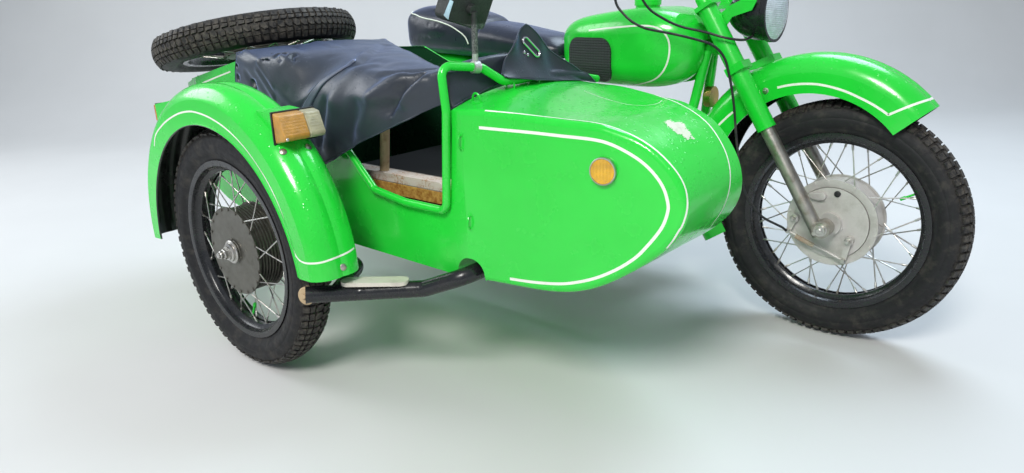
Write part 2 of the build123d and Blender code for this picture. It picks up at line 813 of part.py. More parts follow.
with BuildPart() as box:
    with BuildSketch(side(172)):
        with Locations((315, 565)):
            RectangleRounded(180, 180, 22)
    extrude(amount=46)
save("side_boxes", joined(box.part, mirrored(box.part)))

# Centre stand, folded up under the cradle. It swings on a cross tube.

stand_leg = tube([(STAND_X, 75, STAND_Z), (360, 105, 205), (330, 110, 190)], 11, 40)
save("centre_stand", joined(
    rod((STAND_X, -109, STAND_Z), (STAND_X, 109, STAND_Z), STAND_PIVOT_R),
    stand_leg, mirrored(stand_leg),
    rod((350, -106, 200), (350, 106, 200), 9),
))

# Sidecar body: one welded shell, hollow, with the cockpit and trunk as two spaces

TUNNEL = (962, 352)
TUNNEL_R = 40


# The top of the nose is arched at the cockpit and flattens forwards: X, edge height, rise
CROWN_END = 1250
NOSE = [(1130, 338), (1262, 360), (1362, 418.5), (1437, 484), (1470, 540), (1472, 590), (1452, 635),
        (1402, 685), (1361, 707), (1309, 722.4), (CROWN_END, 731)]
CROWN = [(930, 738, 46), (1010, 740, 25.9), (1090, 738.6, 11.5), (1170, 734.4, 2.9)]


def moved_out(path, amount):
    """Points of a path moved to its right, straight down or up at its two ends."""
    moved = [(path[0][0], path[0][1] - amount)]
    for (x0, z0), (x, z), (x1, z1) in zip(path, path[1:], path[2:]):
        run = ((x1 - x0) ** 2 + (z1 - z0) ** 2) ** 0.5
        moved.append((x + amount * (z1 - z0) / run, z - amount * (x1 - x0) / run))
    return moved + [(path[-1][0], path[-1][1] + amount)]


def body_side(grow=0):
    """Side outline of the tub, pulled in all round by a negative amount."""
    nose = moved_out(NOSE, grow)
    back_x = -452 - grow
    with BuildSketch(side(0)) as outline:
        with BuildLine():
            Polyline(nose[-1], (CROWN_END, 802 + grow), (950, 802 + grow), (250, 838 + grow), (20, 832 + grow),
                     (-445 - grow, 739 + grow), (back_x, 640))
            ThreePointArc((back_x, 640), (-330 - 0.7 * grow, 440 - 0.7 * grow), (-60, 348 - grow))
            Line((-60, 348 - grow), nose[0])
            Spline(*nose, tangents=[(1, -0.008), (-1, 0.06)])
        make_face()
    return outline.sketch


def body_plan(grow=0):
    """Plan outline of the tub."""
    with BuildSketch(level(300)) as outline:
        with BuildLine():
            Polyline((-460, -880), (-300, -925), (300, -945), (960, -945), (1490, -841), (1490, -598),
                     (1240, -500), (960, -395), (-300, -400), (-460, -440), close=True)
        make_face()
        if grow:
            offset(amount=grow)
    return outline.sketch


def body_form(grow=0):
    """Solid tub with the crowned top of its nose, its outlines pulled in by a negative amount."""
    outline = body_side(grow).moved(Location((0, -350, 0)))
    plan = body_plan(grow)
    with BuildPart() as over_crown:
        for x, edge, rise in CROWN:
            edge_z = edge + grow
            with BuildSketch(across(x)):
                with BuildLine():
                    ThreePointArc((-965, edge_z), (-675, edge_z + rise), (-385, edge_z))
                    Polyline((-385, edge_z), (-385, 900), (-965, 900), (-965, edge_z))
                make_face()
        with BuildSketch(across(CROWN_END)):
            with BuildLine():
                Polyline((-965, 731 + grow), (-385, 731 + grow), (-385, 900), (-965, 900), close=True)
            make_face()
        loft()
    with BuildPart() as form:
        extrude(outline, amount=640)
        extrude(plan, amount=700, mode=Mode.INTERSECT)
        add(over_crown.part, mode=Mode.SUBTRACT)
    return form.part


NEAR_FOLD_R = 14


def near_fold(edge):
    """Whether an edge is a fold round the outer side panel of the nose."""
    place = edge.center()
    return place.X > REAR_AXLE_X + 1000 and place.Y < BIKE_Y - 820


body_solid = body_form()
body_inner = body_form(-WALL)
with BuildPart() as body_outer:
    add(body_solid)
    fillet(body_outer.edges().filter_by(near_fold), NEAR_FOLD_R)

# Inside the tub: the raised floor over the cross tunnel, and the bulkhead behind the cockpit
body_middle = body_form(-WALL / 2)
with BuildPart() as inner_walls:
    with BuildSketch(side(-350)):
        with Locations(TUNNEL):
            Circle(TUNNEL_R + 4)
    extrude(amount=640)
    with BuildSketch(side(-350)):
        with BuildLine():
            Polyline((40, 340), (46, 340), (46, 842), (40, 842), close=True)
        make_face()
    extrude(amount=640)
    add(body_middle, mode=Mode.INTERSECT)

with BuildPart() as sidecar_body:
    add(body_outer.part)
    add(body_inner, mode=Mode.SUBTRACT)
    add(inner_walls.part)
    # cockpit opening, and the rim that dips towards the nose
    with BuildSketch(side(-405)):
        with BuildLine():
            Polyline((46, 900), (46, 700), (935, 700), (935, 900), close=True)
        make_face()
    extrude(amount=535, mode=Mode.SUBTRACT)
    with BuildSketch(side(-350)):
        with BuildLine():
            Polyline((262, 836), (420, 772), (935, 742), (935, 900), (262, 900), close=True)
        make_face()
    extrude(amount=640, mode=Mode.SUBTRACT)
    # trunk opening under its lid
    with BuildSketch(level(700)):
        with Locations((-197, -668)):
            Rectangle(414, 420)
    extrude(amount=200, mode=Mode.SUBTRACT)
    # door cut in the outer side
    with BuildSketch(side(-900)):
        with BuildLine():
            Polyline((262, 900), (300, 836), (440, 720), (556, 594), (634, 520), (745, 505), (885, 505),
                     (912, 535), (930, 700), (935, 900), close=True)
        make_face()
    extrude(amount=80, mode=Mode.SUBTRACT)
    # cross tunnel for the chassis tube
    with BuildSketch(side(-350)):
        with Locations(TUNNEL):
            Circle(TUNNEL_R)
            Rectangle(2 * TUNNEL_R, 200, align=(Align.CENTER, Align.MAX))
    extrude(amount=640, mode=Mode.SUBTRACT)
save("sidecar_body", sidecar_body.part)

# Trunk lid with the spare wheel's carrier

LID_NORMAL = Vector(-sin(radians(LID_SLOPE)), 0, cos(radians(LID_SLOPE)))
LID_DROP = 86
LID_T = 4
HINGE_AT = (-437, 754)
HINGE_YS = (-820, -560)
HINGE_PIN_R = 3
lid_centre = Vector(*SPARE_CENTRE) - LID_NORMAL * LID_DROP
lid_plane = Plane(
    origin=at(*tuple(lid_centre)),
    x_dir=(cos(radians(LID_SLOPE)), 0, sin(radians(LID_SLOPE))),
    z_dir=LID_NORMAL,
)

with BuildPart() as trunk_lid:
    with BuildSketch(lid_plane):
        with Locations((62, 28)):
            RectangleRounded(460, 456, 40)
    extrude(amount=-LID_T)
    # leaf and barrel of each hinge
    for hinge_y in HINGE_YS:
        with BuildSketch(side(hinge_y + 20)):
            with BuildLine():
                Polyline((-437, 747.5), (-418, 749), (-370, 758), (-370, 763.4), (-418, 753.8),
                         (-437, 750.6), close=True)
            make_face()
        extrude(amount=40)
        with BuildSketch(side(hinge_y + 20)):
            with Locations(HINGE_AT):
                Circle(7)
        extrude(amount=40)
        with BuildSketch(side(hinge_y + 30)):
            with Locations(HINGE_AT):
                Circle(HINGE_PIN_R + 0.05)
        extrude(amount=60, mode=Mode.SUBTRACT)
save("trunk_lid", trunk_lid.part)

with BuildPart() as lid_hinges:
    for hinge_y in HINGE_YS:
        with BuildSketch(side(hinge_y + 30)):
            with Locations(HINGE_AT):
                Circle(HINGE_PIN_R)
        extrude(amount=60)
        for ear_y in (hinge_y + 28, hinge_y - 24):
            with BuildSketch(side(ear_y)):
                with BuildLine():
                    Polyline((-444, 730), (-430, 730), (-430, 757), (-433, 761), (-441, 761), (-444, 757),
                             close=True)
                make_face()
            extrude(amount=4)
    add(body_outer.part, mode=Mode.SUBTRACT)
save("lid_hinges", lid_hinges.part)

with BuildPart() as carrier:
    with BuildSketch(lid_plane):
        Circle(60)
    extrude(amount=LID_DROP - HUB_HALF_W - 8)
    with BuildSketch(lid_plane):
        Circle(AXLE_R)
    extrude(amount=LID_DROP + 60)
    with BuildSketch(lid_plane.offset(LID_DROP + 47)):
        RegularPolygon(18, 6)
    extrude(amount=12)
save("spare_carrier", carrier.part)

# Cockpit rail: a tube on the edge of the door cut that rises as a grab hoop

RAIL_R = 10
RAIL_Y = -955.2
HOOP_CORNER = (917, RAIL_Y, 842)
HOOP_TOP = (942, -850, 829)
HOOP_FOOT = (962, -800, 794)
rail = tube(
    [(306, RAIL_Y, 834), (440, RAIL_Y, 725), (556, RAIL_Y, 600), (640, RAIL_Y, 519), (760, RAIL_Y, 503),
     (905, RAIL_Y, 503), (926, RAIL_Y, 740), HOOP_CORNER, HOOP_TOP, HOOP_FOOT,
     (954, -735, 789), (952, -650, 790.5), (952, -540, 784), (954, -402, 758)],
    RAIL_R, 24,
)
save("cockpit_rail", rail)

with BuildPart() as seat_pan:
    with BuildSketch(side(-430)):
        with Locations((620, 515)):
            RectangleRounded(400, 56, 20)
    extrude(amount=450)
save("seat_pan", seat_pan.part)
save("seat_post", rod((570, -862, 545), (592, -862, 690), 13))

# Tonneau cover: a thin closed solid over the back of the cockpit
with BuildPart() as tonneau:
    with BuildSketch(side(-432)):
        with BuildLine():
            Polyline((-66, 840), (-50, 853), (80, 864), (190, 874), (300, 858), (420, 880), (480, 820),
                     (600, 800), (600, 794), (476, 812), (418, 872), (300, 850), (190, 866), (80, 857),
                     (-46, 846), close=True)
        make_face()
    extrude(amount=546)
    with BuildSketch(side(-972)):
        with BuildLine():
            Polyline((-66, 840), (-50, 853), (80, 864), (190, 874), (300, 858), (420, 880), (480, 820),
                     (560, 740), (480, 620), (420, 560), (340, 560), (240, 640), (60, 760), close=True)
        make_face()
    extrude(amount=8)
save("tonneau_cover", tonneau.part)

# Sidecar chassis: the front cross tube with the step, the side tubes and the rear cross tube

CHASSIS_R = 21
front_cross = tube(
    [(651, -1205, 310), (722, -1095, 298), (856, -1000, 308), (962, -964, 352), (962, -366, 352)],
    CHASSIS_R, 40,
)
inner_tube = rod((1010, -366, 318), (40, -366, 318), CHASSIS_R - 2)
outer_tube = tube([(690, -1140, 308), (604, -1004, 318), (120, -1000, 318)], CHASSIS_R - 2, 60)
rear_cross = rod((190, -366, 318), (190, -1000, 318), CHASSIS_R - 2)
sidecar_frame = joined(front_cross, inner_tube, outer_tube, rear_cross)
save("sidecar_frame", sidecar_frame)

# start on the sidecar's chassis, end on the motorcycle's frame, radius
STRUTS = [
    ((900, -352, 312), (900, -118, 264), 15),
    ((430, -352, 318), (552, -118, 292), 15),
    ((992, -352, 328), (1064, -44, 640), 13),
    ((330, -352, 326), (150, -102, 742), 13),
]
strut_bars = [rod(start, end, radius) for start, end, radius in STRUTS]
with BuildPart() as sidecar_struts:
    add(strut_bars)
    add(sidecar_frame, mode=Mode.SUBTRACT)
    add(main_frame.part, mode=Mode.SUBTRACT)
save("sidecar_struts", sidecar_struts.part)

arm_pieces = [
    rod((560, -1004, 318), (560, -1062, 318), 15),
    rod((572, -1062, 318), (SIDECAR_LEAD, -1062, TYRE_R), 18),
    rod((SIDECAR_LEAD, SIDECAR_Y - 50, TYRE_R), (SIDECAR_LEAD, SIDECAR_Y - 62, TYRE_R), 15),
]
with BuildPart() as arm:
    add(arm_pieces)
    add(sidecar_frame, mode=Mode.SUBTRACT)
    with BuildSketch(side(SIDECAR_Y + 76)):
        with Locations((SIDECAR_LEAD, TYRE_R)):
            Circle(30)
    extrude(amount=34)
    with BuildSketch(side(SIDECAR_Y + 42)):
        with Locations((SIDECAR_LEAD, TYRE_R)):
            Circle(DRUM_R - 1.5)
    extrude(amount=9)
    with BuildSketch(side(SIDECAR_Y + 42)):
        with Locations((SIDECAR_LEAD, TYRE_R)):
            Circle(AXLE_R)
    extrude(amount=104)
save("sidecar_arm", arm.part)

with BuildPart() as step_tread:
    with BuildSketch(Plane(origin=at(690, -1125, 322), x_dir=Vector(130, 100, 7), z_dir=(0, 0, 1))):
        SlotOverall(170, 44, align=(Align.MIN, Align.CENTER))
    extrude(amount=10)
    add(sidecar_frame, mode=Mode.SUBTRACT)
save("step_tread", step_tread.part)

# Marker lamps on the sidecar fender, and the round side reflector
with BuildPart() as marker_front:
    with BuildSketch(side(-1085)):
        with BuildLine():
            Polyline((500, 745), (585, 738), (585, 682), (560, 672), (540, 690), close=True)
        make_face()
    extrude(amount=95)
with BuildPart() as marker_rear:
    with BuildSketch(side(-1085)):
        with BuildLine():
            Polyline((60, 745), (-85, 722), (-85, 668), (-50, 660), (-10, 690), close=True)
        make_face()
    extrude(amount=80)
with BuildPart() as marker_housings:
    add(marker_front.part)
    add(marker_rear.part)
    add(sidecar_fender_solid, mode=Mode.SUBTRACT)
save("marker_housings", marker_housings.part)

with BuildPart() as front_lens:
    with BuildSketch(side(-1084)):
        with BuildLine():
            Polyline((585, 738), (615, 732), (628, 686), (585, 680), close=True)
        make_face()
    extrude(amount=97)
with BuildPart() as rear_lens:
    with BuildSketch(side(-1088)):
        with BuildLine():
            Polyline((-85, 722), (-103, 718), (-103, 672), (-85, 668), close=True)
        make_face()
    extrude(amount=74)
save("marker_lenses", joined(front_lens.part, rear_lens.part))

reflector_plane = Plane(origin=at(1302, -879, 634), z_dir=(100, -510, 0))
with BuildPart() as reflector:
    with BuildSketch(reflector_plane):
        Circle(27)
    extrude(amount=8)
save("side_reflector", reflector.part)

# Mirror on an arm, clamped to the grab hoop; its housing leans and tapers to the back
BALL_AT = Vector(946, -872, 957)
HEAD_UP = Vector(0.30, 0.25, 1).normalized()
HEAD_ACROSS = HEAD_UP.cross(Vector(1, -0.1, 0)).normalized()
HEAD_BACK = HEAD_ACROSS.cross(HEAD_UP)
HEAD_RIM, HEAD_DEPTH = 16, 30


def head_plane(behind):
    """Plane across the mirror's housing, a distance in front of its back face."""
    centre = BALL_AT + HEAD_UP * 20 - HEAD_BACK * behind
    return Plane(origin=at(*tuple(centre)), x_dir=HEAD_ACROSS, z_dir=HEAD_BACK)


with BuildPart() as mirror_head:
    with BuildSketch(head_plane(8 + HEAD_RIM + HEAD_DEPTH)):
        RectangleRounded(118, 124, 16)
    extrude(amount=HEAD_RIM)
    with BuildSketch(head_plane(8 + HEAD_DEPTH)):
        RectangleRounded(118, 124, 16)
    extrude(amount=HEAD_DEPTH, taper=10)
clamp_at = Vector(*HOOP_TOP) * 0.86 + Vector(*HOOP_CORNER) * 0.14
clamp_dir = Vector(*HOOP_TOP) - Vector(*HOOP_CORNER)
with BuildPart() as mirror_clamp:
    with BuildSketch(Plane(origin=at(*tuple(clamp_at)), z_dir=clamp_dir)):
        Circle(RAIL_R + 4)
    extrude(amount=9, both=True)
arm = rod(tuple(clamp_at + Vector(-2, 2, 10)), tuple(BALL_AT + Vector(3, 0, -4)), 7)
ball = rod(tuple(BALL_AT - HEAD_BACK * 12), tuple(BALL_AT + HEAD_BACK * 6), 12)
with BuildPart() as sidecar_mirror:
    add([mirror_clamp.part, arm, ball, mirror_head.part])
    add(rail, mode=Mode.SUBTRACT)
save("sidecar_mirror", sidecar_mirror.part)

print("done")
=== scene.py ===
import bpy
import bmesh
import json
from math import cos, pi, radians, sin
from mathutils import Matrix, Vector, noise
from mathutils.bvhtree import BVHTree


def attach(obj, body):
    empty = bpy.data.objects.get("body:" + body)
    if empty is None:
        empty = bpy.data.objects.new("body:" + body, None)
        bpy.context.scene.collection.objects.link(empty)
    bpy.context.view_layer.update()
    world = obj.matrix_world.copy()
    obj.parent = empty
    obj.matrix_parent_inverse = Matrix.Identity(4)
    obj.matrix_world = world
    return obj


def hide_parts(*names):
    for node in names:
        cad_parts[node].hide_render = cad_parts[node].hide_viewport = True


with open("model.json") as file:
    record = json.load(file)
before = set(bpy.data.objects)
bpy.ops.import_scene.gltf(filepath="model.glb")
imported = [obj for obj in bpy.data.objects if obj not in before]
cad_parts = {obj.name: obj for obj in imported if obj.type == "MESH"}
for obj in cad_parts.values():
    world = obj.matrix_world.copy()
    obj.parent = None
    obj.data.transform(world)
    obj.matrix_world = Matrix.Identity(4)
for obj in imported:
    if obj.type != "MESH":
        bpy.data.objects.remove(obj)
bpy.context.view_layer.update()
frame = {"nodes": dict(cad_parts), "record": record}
scene = bpy.context.scene
nodes = frame["nodes"]

# Places are written as in the part's source: millimetres from the rear axle, the motorcycle's
# middle plane and the ground.
REAR_AXLE_X = -617.5
BIKE_Y = 395


def at(x, y, z):
    """A place in the motorcycle's frame, in metres of the row's frame."""
    return Vector((REAR_AXLE_X + x, BIKE_Y + y, z)) * 0.001


# Camera, solved from the wheels in the photograph
CAMERA_AT = at(2139, -2111.6, 980.2)
CAMERA_YAW, CAMERA_PITCH, CAMERA_ROLL = radians(41.66), radians(18.0), radians(-2.28)
CAMERA_FOCAL_PX = 735.3
PHOTO_W, PHOTO_H = 1024, 473

view_dir = Vector((-sin(CAMERA_YAW) * cos(CAMERA_PITCH), cos(CAMERA_YAW) * cos(CAMERA_PITCH),
                   -sin(CAMERA_PITCH)))
level_right = Vector((cos(CAMERA_YAW), sin(CAMERA_YAW), 0))
level_up = level_right.cross(view_dir)
right = cos(CAMERA_ROLL) * level_right + sin(CAMERA_ROLL) * level_up
up = cos(CAMERA_ROLL) * level_up - sin(CAMERA_ROLL) * level_right
camera_data = bpy.data.cameras.new("camera")
camera_data.sensor_fit = "HORIZONTAL"
camera_data.lens = camera_data.sensor_width * CAMERA_FOCAL_PX / PHOTO_W
camera_data.clip_end = 100
camera = bpy.data.objects.new("camera", camera_data)
turn = Matrix((right, up, -view_dir)).transposed().to_4x4()
camera.matrix_world = Matrix.Translation(CAMERA_AT) @ turn
scene.collection.objects.link(camera)
scene.camera = camera
scene.view_settings.view_transform = "Standard"


# Materials

class Look:
    """A material's node tree and main shader; extra names sockets with _ for a space."""

    def __init__(self, name, color, rough=0.5, metal=0.0, **extra):
        self.mat = bpy.data.materials.new(name)
        self.mat.use_nodes = True
        self.tree = self.mat.node_tree
        self.main = self.tree.nodes["Principled BSDF"]
        self.main.inputs["Base Color"].default_value = (*color[:3], 1)
        self.main.inputs["Roughness"].default_value = rough
        self.main.inputs["Metallic"].default_value = metal
        for key, value in extra.items():
            self.main.inputs[key.replace("_", " ")].default_value = value

    def node(self, kind, links=(), **values):
        """One node; values sets properties or input defaults, links joins (output, input name)."""
        made = self.tree.nodes.new("ShaderNode" + kind)
        for key, value in values.items():
            if key in made.bl_rna.properties:
                setattr(made, key, value)
            else:
                made.inputs[key.replace("_", " ")].default_value = value
        for source, target in links:
            self.tree.links.new(source, made.inputs[target])
        return made

    def place(self):
        return self.node("TexCoord").outputs["Object"]

    def axes(self):
        """The object's own coordinates, one output for each axis."""
        return self.node("SeparateXYZ", [(self.place(), "Vector")]).outputs

    def noise(self, scale, detail=4, rough=0.55):
        """Noise value over the object's own coordinates, which are metres."""
        made = self.node("TexNoise", [(self.place(), "Vector")], Scale=scale, Detail=detail, Roughness=rough)
        return made.outputs["Fac"]

    def span(self, value, low, high, to_low=0.0, to_high=1.0):
        """value mapped from low..high to to_low..to_high, clamped."""
        made = self.node("MapRange", [(value, "Value")])
        for key, number in (("From Min", low), ("From Max", high), ("To Min", to_low), ("To Max", to_high)):
            made.inputs[key].default_value = number
        return made.outputs["Result"]

    def math(self, operation, a, b):
        made = self.node("Math", operation=operation)
        for index, value in enumerate((a, b)):
            if isinstance(value, (int, float)):
                made.inputs[index].default_value = value
            else:
                self.tree.links.new(value, made.inputs[index])
        return made.outputs["Value"]

    def blend(self, factor, a, b):
        """Colour a where factor is 0 and b where it is 1."""
        made = self.node("Mix", [(factor, "Factor")], data_type="RGBA")
        for socket, value in ((made.inputs[6], a), (made.inputs[7], b)):
            if isinstance(value, tuple):
                socket.default_value = (*value[:3], 1)
            else:
                self.tree.links.new(value, socket)
        return made.outputs[2]

    def feed(self, **values):
        """Joins values to the shader's sockets, named with _ for a space."""
        for key, value in values.items():
            self.tree.links.new(value, self.main.inputs[key.replace("_", " ")])

    def relief(self, height, depth, below=None):
        """Bump of a depth in metres, chained on another bump's output."""
        made = self.node("Bump", [(height, "Height")], Strength=1.0, Distance=depth)
        if below is not None:
            self.tree.links.new(below, made.inputs["Normal"])
        self.feed(Normal=made.outputs["Normal"])
        return made.outputs["Normal"]

    def drops(self, scale, share):
        """Round water drops on surfaces that face up, 0 to 1."""
        cells = self.node("TexVoronoi", [(self.place(), "Vector")], Scale=scale, Randomness=1.0)
        dome = self.span(cells.outputs["Distance"], 0.0, 0.34, 1.0, 0.0)
        chosen = self.node("SeparateColor", [(cells.outputs["Color"], "Color")]).outputs[0]
        kept = self.span(chosen, 1 - share, 1 - share + 0.02)
        normal = self.node("SeparateXYZ", [(self.node("NewGeometry").outputs["Normal"], "Vector")])
        faces_up = self.span(normal.outputs["Z"], 0.05, 0.5)
        return self.math("MULTIPLY", self.math("MULTIPLY", dome, kept), faces_up)

    def inner_side(self, centre):
        """1 on faces that look towards a point inside a shell, 0 on its outer faces."""
        coordinates = self.node("TexCoord")
        outwards = self.node("VectorMath", [(coordinates.outputs["Object"], 0)], operation="SUBTRACT")
        outwards.inputs[1].default_value = centre
        along = self.node("VectorMath", [(outwards.outputs["Vector"], 0), (coordinates.outputs["Normal"], 1)],
                          operation="DOT_PRODUCT")
        return self.span(along.outputs["Value"], -0.004, -0.001, 1, 0)


def make_green(name="green_paint", shell_centre=None, painted_inner_shade=(0.010, 0.055, 0.022)):
    k = Look(name, (0.03, 0.60, 0.06), 0.22, Coat_Weight=0.35, Coat_Roughness=0.08)
    clouds = k.noise(2.2, 5)
    grime = k.noise(38, 8, 0.7)
    base = k.blend(k.span(clouds, 0.35, 0.7), (0.010, 0.55, 0.030), (0.022, 0.66, 0.050))
    dirt_and_inner_shade = k.blend(k.span(grime, 0.66, 0.80, 0, 0.35), base, (0.05, 0.28, 0.05))
    # Faces that look into the shell, such as the tub's inside and the fenders' undersides, take a darker colour:
    # painted shade
    if shell_centre is not None:
        dirt_and_inner_shade = k.blend(k.inner_side(shell_centre), dirt_and_inner_shade, painted_inner_shade)
    k.feed(Base_Color=dirt_and_inner_shade, Roughness=k.span(k.noise(14, 5), 0.3, 0.75, 0.16, 0.34))
    waves = k.relief(k.noise(9, 2), 0.0012)
    k.relief(k.drops(95, 0.4), 0.0009, waves)
    return k.mat


def make_rubber(name, color, rough, grain, dust, tread_from=None):
    k = Look(name, color, rough, Specular_IOR_Level=0.35)
    dirt = k.span(k.noise(26, 8, 0.65), 0.50, 0.72, 0, dust)
    if tread_from:
        flat = k.node("VectorMath", [(k.place(), 0)], operation="MULTIPLY")
        flat.inputs[1].default_value = (1, 1, 0)
        radius = k.node("VectorMath", [(flat.outputs["Vector"], 0)], operation="LENGTH").outputs["Value"]
        road = k.span(k.noise(70, 8, 0.7), 0.40, 0.66, 0, 0.55)
        worn = k.math("MULTIPLY", k.span(radius, tread_from, tread_from + 0.022), road)
        dirt = k.math("MAXIMUM", dirt, worn)
    k.feed(Base_Color=k.blend(dirt, color, (0.16, 0.14, 0.11)),
         Roughness=k.span(k.noise(60, 4), 0.3, 0.7, rough - 0.12, rough + 0.1))
    k.relief(k.noise(grain, 3), 0.0003)
    return k.mat


def make_metal(name, color, rough, metal=1.0, stain=(0.2, 0.16, 0.12), stained=0.4, grain=180,
               depth=0.0002):
    k = Look(name, color, rough, metal)
    patches = k.span(k.noise(18, 8, 0.68), 0.50, 0.74, 0, stained)
    k.feed(Base_Color=k.blend(patches, color, stain),
         Roughness=k.span(k.noise(45, 5), 0.3, 0.72, rough - 0.08, rough + 0.14))
    k.relief(k.noise(grain, 4), depth)
    return k.mat


def make_glass(name, color, rough, transmission, ribs=0, cells=0):
    k = Look(name, color, rough, Transmission_Weight=transmission, Coat_Weight=0.4)
    waves = k.span(k.noise(46, 6, 0.65), 0.35, 0.65)
    k.feed(Base_Color=k.blend(waves, tuple(c * 0.70 for c in color), color))
    if cells:
        facets = k.node("TexVoronoi", [(k.place(), "Vector")], Scale=cells, Randomness=0.15)
        k.relief(facets.outputs["Distance"], 0.0012)
    if ribs:
        bands = k.node("TexWave", [(k.place(), "Vector")], Scale=ribs, wave_type="BANDS",
                     bands_direction="Z")
        k.relief(bands.outputs["Fac"], 0.001)
    return k.mat


def make_cloth(name, color, sheen_color, rough, weave, drops=0.0):
    k = Look(name, color, rough, Sheen_Weight=0.5, Sheen_Roughness=0.35)
    k.main.inputs["Sheen Tint"].default_value = (*sheen_color, 1)
    clouds = k.span(k.noise(7, 6, 0.6), 0.3, 0.72)
    k.feed(Base_Color=k.blend(clouds, color, tuple(c * 1.5 for c in color)),
         Roughness=k.span(k.noise(12, 5), 0.3, 0.75, rough - 0.1, rough + 0.12))
    threads = k.relief(k.noise(weave, 2), 0.0002)
    if drops:
        k.relief(k.drops(120, drops), 0.0008, threads)
    return k.mat


GREEN = make_green()
# Tub and fenders with their inner faces darkened: painted shade
TUB_GREEN = make_green("tub_paint", at(500, -670, 560))
SIDECAR_FENDER_GREEN = make_green("sidecar_fender_paint", at(276, -1145, 342), (0.006, 0.010, 0.007))
FRONT_FENDER_GREEN = make_green("front_fender_paint", at(1450, 0, 380), (0.006, 0.010, 0.007))
REAR_FENDER_GREEN = make_green("rear_fender_paint", at(0, 0, 342), (0.006, 0.010, 0.007))
BLACK_PAINT = make_metal("black_paint", (0.012, 0.013, 0.015), 0.22, 0.0, (0.06, 0.05, 0.04), 0.3, 60)
TYRE = make_rubber("tyre_rubber", (0.011, 0.011, 0.012), 0.66, 420, 0.22, 0.312)
RUBBER = make_rubber("black_rubber", (0.016, 0.017, 0.019), 0.5, 300, 0.25)
ALLOY = make_metal("bare_alloy", (0.58, 0.56, 0.53), 0.55, 0.5, (0.30, 0.28, 0.24), 0.5)
DARK_ALLOY = make_metal("dark_alloy", (0.155, 0.150, 0.130), 0.44, 0.8, (0.07, 0.065, 0.05), 0.7)
WORN_CHROME = make_metal("worn_chrome", (0.40, 0.38, 0.34), 0.36, 0.9, (0.16, 0.12, 0.08), 0.9, 240, 0.0003)
CHROME = make_metal("chrome", (0.72, 0.72, 0.73), 0.14, 1.0, (0.30, 0.24, 0.17), 0.5, 120, 0.0001)
STEEL = make_metal("steel", (0.55, 0.54, 0.51), 0.34, 1.0, (0.32, 0.20, 0.11), 0.6, 200, 0.0002)
RUST = make_metal("rusty_steel", (0.60, 0.52, 0.40), 0.72, 0.2, (0.35, 0.10, 0.02), 1.0, 110, 0.0008)
COVER = make_cloth("dark_cover", (0.020, 0.025, 0.034), (0.42, 0.56, 1.0), 0.40, 900, 0.3)
# Lighter copy of the cover cloth, used on the doubled hem band: painted sheen
COVER_PAINTED_SHEEN = make_cloth("cover_edge", (0.050, 0.060, 0.085), (0.42, 0.56, 1.0), 0.42, 900, 0.2)
SEAT = make_cloth("black_seat", (0.012, 0.015, 0.024), (0.38, 0.50, 1.0), 0.34, 700, 0.3)
ORANGE = make_glass("orange_lens", (0.90, 0.24, 0.01), 0.25, 0.25, 0, 500)
AMBER = make_glass("amber_lens", (0.66, 0.33, 0.05), 0.3, 0.15, 0, 380)
CREAM_LENS = make_glass("cream_lens", (0.50, 0.47, 0.29), 0.3, 0.15, 0, 380)
YELLOW = make_glass("reflector_yellow", (0.92, 0.50, 0.01), 0.2, 0.1, 0, 700)
LAMP_GLASS = make_glass("lamp_glass", (0.66, 0.74, 0.82), 0.12, 0.12, 60)
CREAM = make_rubber("cream_rubber", (0.62, 0.58, 0.50), 0.55, 200, 0.35)
STRIPE = make_rubber("stripe_paint", (0.80, 0.84, 0.74), 0.4, 200, 0.1)
GOLD = make_metal("gold_horn", (0.55, 0.40, 0.13), 0.3, 1.0, (0.20, 0.13, 0.05), 0.5)

SLOT_LOOK = {
    "green_paint": GREEN, "black_paint": BLACK_PAINT, "tyre_rubber": TYRE, "bare_alloy": ALLOY,
    "chrome": CHROME, "steel": STEEL, "rusty_steel": RUST, "black_rubber": RUBBER,
    "black_seat": SEAT, "dark_cover": COVER, "orange_lens": ORANGE, "cream_rubber": CREAM, "gold_horn": GOLD,
}


def make_seat_pan():
    """Cream paint, rusted through along its lower edge, near black further in than its near edge."""
    k = Look("seat_pan_paint", (0.6, 0.5, 0.4), 0.75, Specular_IOR_Level=0.15)
    axes = k.axes()
    specks = k.span(k.noise(160, 8, 0.75), 0.46, 0.60, 0, 0.9)
    patches = k.span(k.noise(24, 6, 0.6), 0.38, 0.56)
    worn = k.math("MULTIPLY", specks, patches)
    cream = k.blend(worn, (0.60, 0.53, 0.46), (0.36, 0.15, 0.04))
    rust = k.span(k.noise(60, 8, 0.7), 0.40, 0.62)
    gold = k.blend(rust, (0.55, 0.33, 0.08), (0.28, 0.11, 0.02))
    rusted = k.blend(k.span(axes["Z"], 0.5185, 0.5195, 1, 0), cream, gold)
    k.feed(Base_Color=k.blend(k.span(axes["Y"], -0.446, -0.436), rusted, (0.010, 0.010, 0.010)))
    seam = k.math("ABSOLUTE", k.math("SUBTRACT", axes["Z"], 0.519), 0)
    lip = k.relief(k.span(seam, 0.0, 0.0022), 0.0015)
    k.relief(k.noise(120, 5), 0.0005, lip)
    return k.mat


def make_knee_rubber():
    """Black rubber with rows of small raised ribs."""
    k = Look("knee_rubber", (0.012, 0.013, 0.015), 0.5)
    axes = k.axes()
    rows = k.math("PINGPONG", axes["Z"], 0.0040)
    slots = k.math("PINGPONG", axes["X"], 0.0060)
    cells = k.math("MULTIPLY", k.span(rows, 0.0008, 0.0018), k.span(slots, 0.0004, 0.0012))
    k.feed(Base_Color=k.blend(cells, (0.008, 0.009, 0.010), (0.035, 0.040, 0.042)))
    k.relief(cells, 0.0016)
    return k.mat


